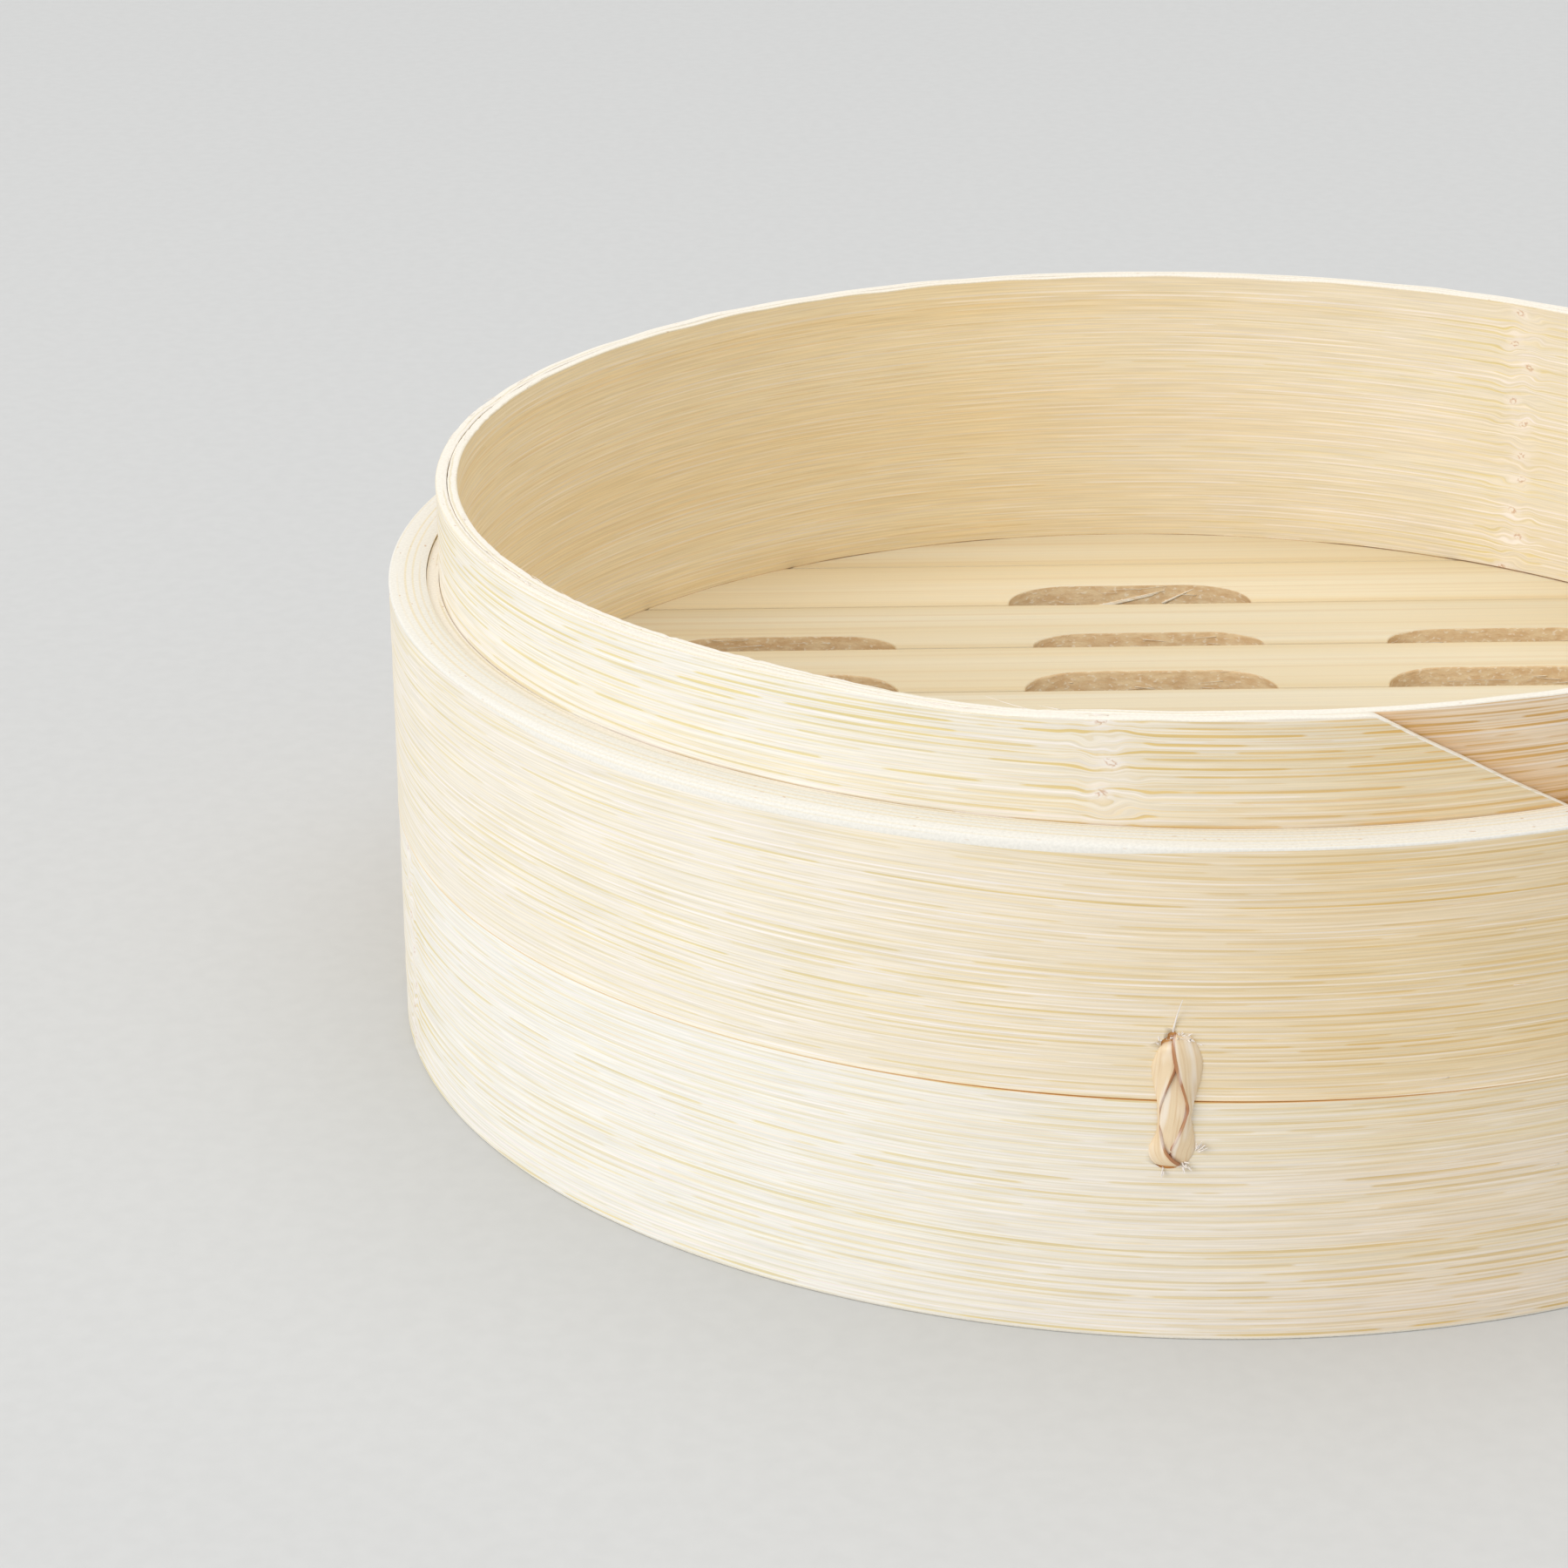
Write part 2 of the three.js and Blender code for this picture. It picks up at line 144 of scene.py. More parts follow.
class SteamerColours(bpy.types.PropertyGroup):
    """Colours of the bamboo, the cane and the stage"""
    neck_ground: colour("Neck ground", "Pale flesh of the neck strip", "#ECDAB6")
    neck_straw: colour("Neck straw", "Yellower zones of the neck strip", "#E8D1A2")
    neck_line: colour("Neck fibres", "Fibre bundles of the neck strip", "#E2B669")
    upper_ground: colour("Upper ground", "Pale flesh of the upper band", "#F1DCB7")
    upper_straw: colour("Upper straw", "Yellower zones of the upper band", "#EDD6AA")
    upper_line: colour("Upper fibres", "Fibre bundles of the upper band", "#E0B96D")
    lower_ground: colour("Lower ground", "Pale flesh of the lower band", "#F3E4CE")
    lower_straw: colour("Lower straw", "Yellower zones of the lower band", "#EFDEBC")
    lower_line: colour("Lower fibres", "Fibre bundles of the lower band", "#E1C07D")
    pith_ground: colour("Pith ground", "Inner face of the neck strip", "#F7E8C5")
    pith_straw: colour("Pith straw", "Yellower zones of the inner face", "#F5E0B4")
    pith_line: colour("Pith fibres", "Fibre bundles of the inner face", "#EFD19B")
    # Painted shade: a greyer tone painted on the inner face where the lamp falls on it.
    pith_painted_shade: colour("Pith faded", "Inner face on the side that the light reaches", "#E6E4DE")
    hidden_ground: colour("Rough ground", "Roughly split bamboo out of sight", "#E2D0A8")
    hidden_straw: colour("Rough straw", "Yellower zones of the rough bamboo", "#D6BE8C")
    hidden_line: colour("Rough fibres", "Fibre bundles of the rough bamboo", "#B89660")
    slat_ground: colour("Slat ground", "Planed slats", "#EADEC2")
    slat_straw: colour("Slat straw", "Yellower zones of the slats", "#E6D5B1")
    # Darker and yellower beside each joint.
    slat_edge: colour("Slat edges", "Yellower flesh beside a joint", "#DFC89A")
    slat_line: colour("Slat fibres", "Fibre streaks of the slats", "#DDC49A")
    sawn: colour("Sawn face", "Sawn faces of the slots", "#E8CEA4")
    sawn_dark: colour("Sawn dark", "Pores in the sawn faces", "#D9B78A")
    sawn_light: colour("Sawn fuzz", "Torn fibres on the sawn faces", "#F8EEDA")
    # Its brown also paints the shadow along the neck's slanted end and the shade in the seam near the ties.
    torn: colour("Torn face", "Torn faces of the tie holes and the seam", "#E0AC6A")
    torn_dark: colour("Torn dark", "Darker torn bamboo", "#C2854A")
    edge: colour("Sanded edge", "Sanded ledge and other edges of the bands", "#ECE8DE")
    rim: colour("Sanded rim", "Sanded edges of the neck, the liner and the foot hoop", "#F6EEDF")
    edge_line: colour("Edge lines", "Fibre lines in the sanded edges", "#E9DDC0")
    edge_speck: colour("Edge specks", "Specks in the sanded edges", "#CFAB85")
    # Its brown also paints the shade in the groove where the neck meets the ledge.
    scar_and_groove_shade: colour("Scars", "Brown of a node's eyes, of covered fibres and of the neck's crack", "#C48F5A")
    covered: colour("Covered bamboo", "Flesh that another turn has covered", "#F3DABF")
    # Painted highlight: paler flesh and paler fibre bundles on the side of the strips that faces the lamp.
    painted_highlight: colour("Bleached bamboo", "Flesh on the side that stood in the sun", "#F5F2E9")
    painted_highlight_line: colour("Bleached fibres", "Fibre bundles on the sunned side", "#E8D79C")
    fibre_end: colour("White fibres", "Whitest fibres of a split face", "#FBF3ED")
    cane: colour("Cane", "Split cane of the ties", "#EDD5B0")
    cane_dark: colour("Cane shade", "Darker streaks of the cane", "#CDA26C")
    # Partly the cane's rough underside, partly painted red-brown shade where the strands overlap.
    cane_under_and_shade: colour("Cane underside", "Rough lower faces of the strands", "#B37A52")
    cane_light: colour("Cane light", "Paler streaks of the cane", "#FAF1E4")
    paper: colour("Floor", "Pale paper that the tier stands on", "#D0D0CE")
    sky: colour("Surround", "Neutral light around the tier", "#F7F8FA")


def radii(node):
    """Least and greatest distance of a node's corners from the Z axis."""
    reaches = [corner.co.xy.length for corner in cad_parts[node].data.vertices]
    return min(reaches), max(reaches)


def heights(node):
    """Lowest and highest point of a node."""
    low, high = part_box(node)
    return low.z, high.z


def smooth(value, start, end):
    """Eased step from 0 at start to 1 at end."""
    share = min(1.0, max(0.0, (value - start) / (end - start)))
    return share * share * (3 - 2 * share)


def spread(start, end, step):
    """Evenly spaced values from start to end, about one step apart."""
    count = max(1, round((end - start) / step))
    return [start + (end - start) * i / count for i in range(count + 1)]


def add(tree, kind, *inputs, **settings):
    """Adds a node, sets it, fills its inputs in order with values or links, and returns its output."""
    node = tree.nodes.new("ShaderNode" + kind)
    for key, value in settings.items():
        setattr(node, key, value)
    open_sockets = [socket for socket in node.inputs if socket.enabled]
    for socket, value in zip(open_sockets, inputs):
        if isinstance(value, bpy.types.NodeSocket):
            tree.links.new(value, socket)
        elif value is not None:
            socket.default_value = value
    return next(socket for socket in node.outputs if socket.enabled)


def ramp(tree, value, *ends, **settings):
    """A value's share of the way between two ends, from 0 to 1 or between two more ends."""
    return add(tree, "MapRange", value, *ends, **settings)


def times(tree, value, factor):
    """The product of two values or links."""
    return add(tree, "Math", value, factor, operation="MULTIPLY")


def blend(tree, share, start, end):
    """A mix of two colours: start at a share of 0, end at 1."""
    return add(tree, "Mix", share, start, end, data_type="RGBA")


def toned(tree, tint, shade):
    """A colour made darker or lighter by a shade."""
    return add(tree, "Mix", 1.0, tint, shade, data_type="RGBA", blend_type="MULTIPLY")


def new_material(name):
    """A material with its node tree."""
    material = bpy.data.materials.new(name)
    material.use_nodes = True
    return material, material.node_tree


def coat(tree, tint, roughness, relief=None, strength=0.0, depth=0.0):
    """Gives a material's shader its colour, its roughness as a value or link, and a bump; returns it."""
    shader = tree.nodes["Principled BSDF"]
    tree.links.new(tint, shader.inputs["Base Color"])
    if isinstance(roughness, bpy.types.NodeSocket):
        tree.links.new(roughness, shader.inputs["Roughness"])
    else:
        shader.inputs["Roughness"].default_value = roughness
    if relief is not None:
        bump = add(tree, "Bump", strength, depth, None, relief)
        tree.links.new(bump, shader.inputs["Normal"])
    return shader


def rgba(colour_value):
    """A colour with full opacity, as a socket takes it."""
    return (*colour_value, 1)


SEED_SLANT = 1.7  # streak widths that a seed moves the noise across, for each streak length along


def streaks(tree, place, streak_length, streak_width, seed, detail=1.0):
    """Noise drawn out along the grain: the lengths are of one streak, in metres."""
    stretch = (1 / streak_length, 1 / streak_width, 1)
    mapped = add(tree, "Mapping", place, (seed, SEED_SLANT * seed, 0), None, stretch)
    return add(tree, "TexNoise", mapped, 1.0, detail, noise_dimensions="2D")


def ranked_rows(tree, across, spacing, seed):
    """Rows across the grain: the number of each, the place inside it from 0 to 1, and its random rank."""
    rows = add(tree, "Math", across, 1 / spacing, seed, operation="MULTIPLY_ADD")
    row = add(tree, "Math", rows, operation="FLOOR")
    inside = add(tree, "Math", rows, operation="FRACT")
    return row, inside, add(tree, "TexWhiteNoise", row, noise_dimensions="1D")


ROW_DRIFT = 0.27  # rows over which the dashes change; under 1, so that no two rows break alike


def fibre_rows(tree, along, across, spacing, dash, seed):
    """Share of thin fibre lines, one to a row, each of its own width and strength, broken into dashes."""
    row, inside, rank = ranked_rows(tree, across, spacing, seed)
    place = ramp(tree, rank, 0.0, 1.0, 0.3, 0.7)
    beside = add(tree, "Math", inside, place, operation="SUBTRACT")
    off = add(tree, "Math", beside, operation="ABSOLUTE")
    run = streaks(tree, add(tree, "CombineXYZ", along, row), dash, ROW_DRIFT, seed, 1.0)
    half = ramp(tree, run, 0.35, 0.65, 0.12, 0.24)
    core = times(tree, half, 0.6)
    line = ramp(tree, off, core, half, 1.0, 0.0)
    whole = ramp(tree, run, 0.41, 0.46, 0.12, 1.0)
    power = add(tree, "TexWhiteNoise", add(tree, "Math", row, 0.5), noise_dimensions="1D")
    strong = ramp(tree, power, 0.1, 1.0, 0.35, 1.2)
    shown = times(tree, whole, strong)
    return times(tree, line, shown)


EYE_PITCH = 4.4 * MM  # distance between the eyes of a node, across the fibres
EYE_LENGTH = 0.6 * MM
EYE_WIDTH = 0.45 * MM


def node_eyes(tree, grain, across, off, seed):
    """Shares of the eyes within each node, one above another: pale patches, and broken brown rings."""
    _, inside, rank = ranked_rows(tree, across, EYE_PITCH, seed)
    aside = ramp(tree, rank, 0.0, 1.0, -2.5, 2.5)
    eye_x = add(tree, "Math", off, 1 / EYE_LENGTH, aside, operation="MULTIPLY_ADD")
    middle = ramp(tree, rank, 0.0, 1.0, 0.35, 0.65)
    above = add(tree, "Math", inside, middle, operation="SUBTRACT")
    eye_y = times(tree, above, EYE_PITCH / EYE_WIDTH)
    reach = add(tree, "VectorMath", add(tree, "CombineXYZ", eye_x, eye_y), operation="LENGTH")
    ragged = streaks(tree, grain, 0.7 * MM, 0.5 * MM, seed + 80, 1.0)
    torn_reach = add(tree, "Math", ragged, 1.8, reach, operation="MULTIPLY_ADD")
    past_rim = add(tree, "Math", torn_reach, 1.75, operation="SUBTRACT")
    off_rim = add(tree, "Math", past_rim, operation="ABSOLUTE")
    patch_share = ramp(tree, torn_reach, 1.6, 4.2, 0.5, 0.0)
    rim_share = ramp(tree, off_rim, 0.05, 0.5, 0.65, 0.0)
    broken = ramp(tree, ragged, 0.4, 0.55)
    return patch_share, times(tree, rim_share, broken)


CUT_SHADOW_WIDTH = 8 * MM  # width of the painted shadow along the neck's slanted end
GROOVE_SHADE_RUN = 30 * MM  # length over which the painted shade of the groove along the neck comes and goes
FOOT_FADE = 6 * MM  # height over which the foot's painted whiteness passes into the strip
GROOVE_SHADE_DEPTH = 0.4 * MM  # how far below the ledge the painted shade of the groove along the neck is seen


def split_bamboo(name, look, colours):
    """Split bamboo, its skin planed off: pale flesh, with long thin bundles of yellow fibres along the
    strip, white fibres between them, and at each node a band of pale eyes where the bundles bend.
    The side that faces the lamp is painted paler and whiter, a painted highlight; on the inner face, a
    greyer painted shade."""
    material, tree = new_material(name)
    grain = add(tree, "UVMap", uv_map=GRAIN)
    along, across = add(tree, "SeparateXYZ", grain).node.outputs[:2]

    # Nodes of the culm: the fibres bend close to each, and are darker just beyond it
    wobble = streaks(tree, grain, 1.0, 5 * MM, look.seed + 40)
    moved = add(tree, "Math", wobble, 4 * MM, along, operation="MULTIPLY_ADD")
    shifted = add(tree, "Math", moved, look.first_node, operation="SUBTRACT")
    half = look.internode / 2
    off = add(tree, "Math", shifted, half, -half, operation="WRAP")
    away = add(tree, "Math", off, operation="ABSOLUTE")
    knot = ramp(tree, away, 1 * MM, 6 * MM, 1.0, 0.0, interpolation_type="SMOOTHSTEP")
    core = ramp(tree, away, 1.5 * MM, 3.5 * MM, 1.0, 0.0)
    after = ramp(tree, off, 3 * MM, 16 * MM, 1.0, 0.0)
    before = ramp(tree, off, -9 * MM, -3 * MM, 0.0, 0.6)
    beyond = add(tree, "Math", off, 0.0, operation="GREATER_THAN")
    flare = add(tree, "Mix", beyond, before, after, data_type="FLOAT")
    eddy = streaks(tree, grain, 5 * MM, 2.4 * MM, look.seed + 50, 1.0)
    centred = add(tree, "Math", eddy, 0.5, operation="SUBTRACT")
    eddied = times(tree, centred, knot)
    drift = streaks(tree, grain, 110 * MM, 40 * MM, look.seed + 60)
    swirled = add(tree, "Math", eddied, 2.4 * MM, across, operation="MULTIPLY_ADD")
    drifted = add(tree, "Math", drift, 2.5 * MM, swirled, operation="MULTIPLY_ADD")
    place = add(tree, "CombineXYZ", along, drifted)

    # Fibre bundles, finer fibres between them, and white ones
    bundles = fibre_rows(tree, along, drifted, look.spacing, 13 * MM, look.seed)
    fine = fibre_rows(tree, along, drifted, 0.43 * look.spacing, 11 * MM, look.seed + 3)
    whites = fibre_rows(tree, along, drifted, 0.7 * look.spacing, 24 * MM, look.seed + 6)
    both = add(tree, "Math", fine, 0.5, bundles, operation="MULTIPLY_ADD")
    groups = streaks(tree, place, 160 * MM, 4 * look.spacing, look.seed + 5, 1.0)
    strong = ramp(tree, groups, 0.36, 0.62, 0.6 * look.contrast, look.contrast)
    bare = add(tree, "Math", along, look.bare_from, operation="GREATER_THAN")
    covered_strength = ramp(tree, bare, 0.0, 1.0, 1.25, 1.0)
    stronger = times(tree, strong, covered_strength)
    drawn = times(tree, both, stronger)
    flares = times(tree, flare, bundles)
    flared = add(tree, "Math", flares, 0.5, drawn, operation="MULTIPLY_ADD")
    kept = ramp(tree, core, 0.0, 1.0, 1.0, 0.6)
    bundle_share = add(tree, "Math", flared, kept, operation="MULTIPLY", use_clamp=True)

    # Broad yellower zones, the painted light on the side facing the lamp, and the finest threads
    zones = streaks(tree, place, 300 * MM, 6 * MM, look.seed + 7, 1.5)
    tone = ramp(tree, zones, 0.34, 0.66)
    turned = add(tree, "Math", along, 1 / look.girth, -look.sun_side, operation="MULTIPLY_ADD")
    facing = add(tree, "Math", turned, operation="COSINE")
    lit_facing = ramp(tree, facing, 0.52, 0.95)
    lit_share = times(tree, lit_facing, bare)
    # Painted light: towards the foot the lit side is painted whiter still, against the yellow light that
    # bounces between neck and ledge.
    low = ramp(tree, across, look.white_below - FOOT_FADE, look.white_below, 1.0, 0.0)
    low_share = times(tree, low, lit_share)
    side_share = times(tree, lit_share, look.fade)
    lit_paint_share = add(tree, "Math", side_share, low_share, operation="MAXIMUM")
    paler = ramp(tree, low_share, 0.0, 1.0, 1.0, 0.7)
    line_share = times(tree, bundle_share, paler)
    # More white fibres on the side facing the lamp: painted highlight.
    whiteness = ramp(tree, lit_share, 0.0, 1.0, 0.4, 0.8)
    core_white = times(tree, core, 0.12)
    white_share = add(tree, "Math", whites, whiteness, core_white, operation="MULTIPLY_ADD")
    threads = streaks(tree, place, 14 * MM, 0.24 * MM, look.seed + 11, 2.0)
    shade = ramp(tree, threads, 0.3, 0.7, 0.92, 1.05)

    body = blend(tree, tone, rgba(look.ground), rgba(look.straw))
    covered_share = ramp(tree, bare, 0.0, 1.0, 0.6, 0.0)
    uncovered = blend(tree, covered_share, body, rgba(colours.covered))
    # Painted shadow that the neck's slanted end casts on the turn beneath it, in the brown of torn bamboo.
    if look.stain:
        slope, start = look.stain
        past = add(tree, "Math", across, slope, along, operation="MULTIPLY_ADD")
        painted_shade_share = ramp(tree, past, start, start + CUT_SHADOW_WIDTH, 0.5, 0.0)
        uncovered = blend(tree, painted_shade_share, uncovered, rgba(colours.torn))
    # Painted light: the side facing the lamp is mixed towards the look's painted tone.
    faded = blend(tree, lit_paint_share, uncovered, rgba(look.faded))
    whitened = blend(tree, white_share, faded, rgba(colours.fibre_end))
    line_stain = ramp(tree, bare, 0.0, 1.0, 0.35, 0.0)
    shaded_line = blend(tree, line_stain, rgba(look.line), rgba(colours.scar_and_groove_shade))
    # Painted highlight on the fibre bundles of the side facing the lamp.
    fibre = blend(tree, lit_share, shaded_line, rgba(colours.painted_highlight_line))
    lined = blend(tree, line_share, whitened, fibre)
    shaded = toned(tree, lined, shade)

    # Eyes within each node
    patch_share, ring_share = node_eyes(tree, grain, across, off, look.seed)
    patched = blend(tree, patch_share, shaded, rgba(colours.fibre_end))
    spotted = blend(tree, ring_share, patched, rgba(colours.scar_and_groove_shade))

    # Painted shade of the groove along the neck, where it meets the ledge
    if look.white_below:
        ledge = look.white_below - FOOT_FADE
        deep = ramp(tree, across, ledge - GROOVE_SHADE_DEPTH, ledge - 0.2 * GROOVE_SHADE_DEPTH, 1.0, 0.0)
        run = streaks(tree, grain, GROOVE_SHADE_RUN, 1.0, look.seed + 90, 1.0)
        shade_shown = ramp(tree, run, 0.35, 0.6, 0.0, 0.35)
        groove_shade_share = times(tree, deep, shade_shown)
        spotted = blend(tree, groove_shade_share, spotted, rgba(colours.scar_and_groove_shade))

    rough = ramp(tree, threads, 0.3, 0.7, 0.46, 0.62)
    relief = add(tree, "Math", bundles, -0.6, threads, operation="MULTIPLY_ADD")
    coat(tree, spotted, rough, relief, 0.5, 0.04 * MM)
    return material


def sanded_edge(name, ground, line, speck, seed):
    """Bamboo edge sanded smooth: chalky and pale, with faint lines of fibres and a few brown specks."""
    material, tree = new_material(name)
    grain = add(tree, "UVMap", uv_map=GRAIN)
    along, across = add(tree, "SeparateXYZ", grain).node.outputs[:2]
    lines = fibre_rows(tree, along, across, 0.9 * MM, 60 * MM, seed)
    line_share = times(tree, lines, 0.8)
    dust = add(tree, "TexNoise", grain, 1 / (0.4 * MM), 2.0, noise_dimensions="2D")
    shade = ramp(tree, dust, 0.3, 0.7, 0.95, 1.03)
    specks = streaks(tree, grain, 1.6 * MM, 0.7 * MM, seed + 5, 1.0)
    speck_share = ramp(tree, specks, 0.78, 0.86, 0.0, 0.7)
    lined = blend(tree, line_share, rgba(ground), rgba(line))
    specked = blend(tree, speck_share, lined, rgba(speck))
    coat(tree, toned(tree, specked, shade), 0.72, dust, 0.4, 0.03 * MM)
    return material


SLAT_SHIFT = 0.4  # metres of grain from one slat to the next
SLAT_TONES = 352.0  # seed of the slats' tones


def planed_slat(colours, joint, pitch):
    """Bamboo planed flat: smooth tan, lighter or darker by the slat, yellower towards its joints, with long
    faint streaks of fibres."""
    material, tree = new_material("bamboo_planed_slat")
    grain = add(tree, "UVMap", uv_map=GRAIN)
    zones = ramp(tree, streaks(tree, grain, 260 * MM, 9 * MM, 3.0, 1.5), 0.32, 0.68)
    bundles = streaks(tree, grain, 130 * MM, 1.4 * MM, 8.0, 1.0)
    bundle_share = ramp(tree, bundles, 0.52, 0.7, 0.0, 0.4)
    threads = streaks(tree, grain, 40 * MM, 0.3 * MM, 13.0, 2.0)
    along, across = add(tree, "SeparateXYZ", grain).node.outputs[:2]
    run = times(tree, along, 1 / SLAT_SHIFT)
    slat = add(tree, "Math", run, operation="ROUND")
    rank = add(tree, "TexWhiteNoise", add(tree, "Math", slat, SLAT_TONES), noise_dimensions="1D")
    slat_tone = ramp(tree, rank, 0.0, 1.0, 0.95, 1.04)
    fine_tone = ramp(tree, threads, 0.3, 0.7, 0.97, 1.025)
    shade = times(tree, fine_tone, slat_tone)
    depth = add(tree, "Math", slat, -SLAT_SHIFT, across, operation="MULTIPLY_ADD")
    half = pitch / 2
    past = add(tree, "Math", depth, joint, operation="SUBTRACT")
    off = add(tree, "Math", past, half, -half, operation="WRAP")
    away = add(tree, "Math", off, operation="ABSOLUTE")
    # Darker and yellower beside each joint.
    edge_share = ramp(tree, away, 0.0, 2.4 * MM, 0.65, 0.0, interpolation_type="SMOOTHSTEP")
    body = blend(tree, zones, rgba(colours.slat_ground), rgba(colours.slat_straw))
    edged = blend(tree, edge_share, body, rgba(colours.slat_edge))
    lined = blend(tree, bundle_share, edged, rgba(colours.slat_line))
    rough = ramp(tree, threads, 0.3, 0.7, 0.48, 0.6)
    coat(tree, toned(tree, lined, shade), rough, threads, 0.35, 0.03 * MM)
    return material


def torn_face(name, ground, dark, light):
    """Bamboo torn by a saw or an awl: rough and mottled, with pale specks of broken fibres."""
    material, tree = new_material(name)
    grain = add(tree, "UVMap", uv_map=GRAIN)
    mottle = streaks(tree, grain, 2.4 * MM, 0.9 * MM, 3.0, 3.0)
    mottle_share = ramp(tree, mottle, 0.34, 0.66)
    specks = streaks(tree, grain, 0.8 * MM, 0.4 * MM, 9.0, 1.0)
    speck_share = ramp(tree, specks, 0.62, 0.74, 0.0, 0.5)
    mottled = blend(tree, mottle_share, rgba(ground), rgba(dark))
    specked = blend(tree, speck_share, mottled, rgba(light))
    coat(tree, specked, 0.85, specks, 0.5, 0.1 * MM)
    return material


def seam_painted_shade(part, look, colours, tie_angle):
    """Cut edge of a band where it meets the other: pale, and painted brown towards the ties, as the warm
    shade in the seam that opens wider there.
    """
    material, tree = new_material(f"bamboo_cut_seam_{part}")
    along = add(tree, "SeparateXYZ", add(tree, "UVMap", uv_map=GRAIN))
    turned = add(tree, "Math", along, 1 / look.girth, -tie_angle, operation="MULTIPLY_ADD")
    nearness = add(tree, "Math", add(tree, "Math", turned, operation="COSINE"), operation="ABSOLUTE")
    painted_shade_share = ramp(tree, nearness, 0.9, 0.985)
    seam_shaded = blend(tree, painted_shade_share, rgba(look.straw), rgba(colours.torn))
    coat(tree, seam_shaded, 0.8)
    return material


def torn_hole(colours):
    """Raw brown bamboo of the tie holes, the windows and the neck's foot, where it also paints the warm
    shade of the gap under the neck.
    """
    return torn_face("bamboo_torn_hole", colours.torn, colours.torn_dark, colours.sawn_light)


def split_cane(name, colours, ground):
    """Peeled rattan split into flat strands: satin, pinkish tan, with fine streaks along each strand."""
    material, tree = new_material(name)
    grain = add(tree, "UVMap", uv_map=GRAIN)
    streak = streaks(tree, grain, 9 * MM, 0.3 * MM, 4.0, 2.0)
    dark_share = ramp(tree, streak, 0.5, 0.75, 0.0, 0.35)
    light = streaks(tree, grain, 6 * MM, 1.2 * MM, 15.0, 1.0)
    light_share = ramp(tree, light, 0.5, 0.7, 0.0, 0.6)
    lit = blend(tree, light_share, rgba(ground), rgba(colours.cane_light))
    streaked = blend(tree, dark_share, lit, rgba(colours.cane_dark))
    rough = ramp(tree, streak, 0.3, 0.7, 0.42, 0.58)
    coat(tree, streaked, rough, streak, 0.5, 0.04 * MM)
    return material


def loose_fibre(name, pale, root):
    """Single torn bamboo fibres: pale, matt, mottled with a slightly darker tone."""
    material, tree = new_material(name)
    grain = add(tree, "UVMap", uv_map=GRAIN)
    mottle = streaks(tree, grain, 2 * MM, 0.2 * MM, 6.0, 1.0)
    root_share = ramp(tree, mottle, 0.4, 0.7, 0.0, 0.6)
    tint = blend(tree, root_share, rgba(pale), rgba(root))
    coat(tree, tint, 0.7)
    return material


def paper_sweep(colours):
    """Matt seamless paper: pale, with a barely visible tooth."""
    material, tree = new_material("paper_matt_sweep")
    place = add(tree, "TexCoord").node.outputs["Object"]
    tooth = add(tree, "TexNoise", place, 1 / (3 * MM), 3.0, noise_dimensions="2D")
    shade = ramp(tree, tooth, 0.3, 0.7, 0.985, 1.01)
    shader = coat(tree, toned(tree, rgba(colours.paper), shade), 0.9)
    shader.inputs["Specular IOR Level"].default_value = 0.2
    return material


def strip_look(colours, part, seed, spacing, contrast, nodes, girth, fade, sun_side=-140, bare_turn=0.0,
               stain=None, white_below=0.0):
    """The look of a split strip: its three colours, its fibres, its first node and its internode in degrees
    round its girth, how much painted light its side facing the lamp takes and where that side is, from
    which turn it lies bare, the slope and start of a painted shadow along a slanted end, and below which
    height its lit side is painted whiter still."""
    tones = [getattr(colours, f"{part}_{tone}") for tone in ("ground", "straw", "line")]
    # The outer faces take a painted highlight on the side facing the lamp, the inner face a painted shade.
    faded = colours.pith_painted_shade if part == "pith" else colours.painted_highlight
    first_node, internode = (math.radians(turn) * girth for turn in nodes)
    return StripLook(
        *tones, faded, seed, spacing, contrast, first_node, internode, girth,
        fade, math.radians(sun_side), bare_turn * girth, stain, white_below)


def new_shape():
    """An empty shape, and the layer of its grain coordinates."""
    shape = bmesh.new()
    return shape, shape.loops.layers.uv.new(GRAIN)


def shape_mesh(name, shape):
    """A mesh of a finished shape, which is freed."""
    mesh = bpy.data.meshes.new(name)
    shape.to_mesh(mesh)
    shape.free()
    return mesh


def link_piece(mesh, materials):
    """An object of a finished mesh, with its materials, in the scene."""
    for material in materials:
        mesh.materials.append(material)
    piece = bpy.data.objects.new(mesh.name, mesh)
    bpy.context.scene.collection.objects.link(piece)
    return piece


def dress(piece, node):
    """Lets a piece stand for its node."""
    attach(piece, "root")
    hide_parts(node)


ARC_STEPS = 3
EDGE_ROWS = 3
MOST_EASE = 0.48  # share of a strip's thinner side that an eased corner may take
FACES = ("foot", "outer", "top", "inner")


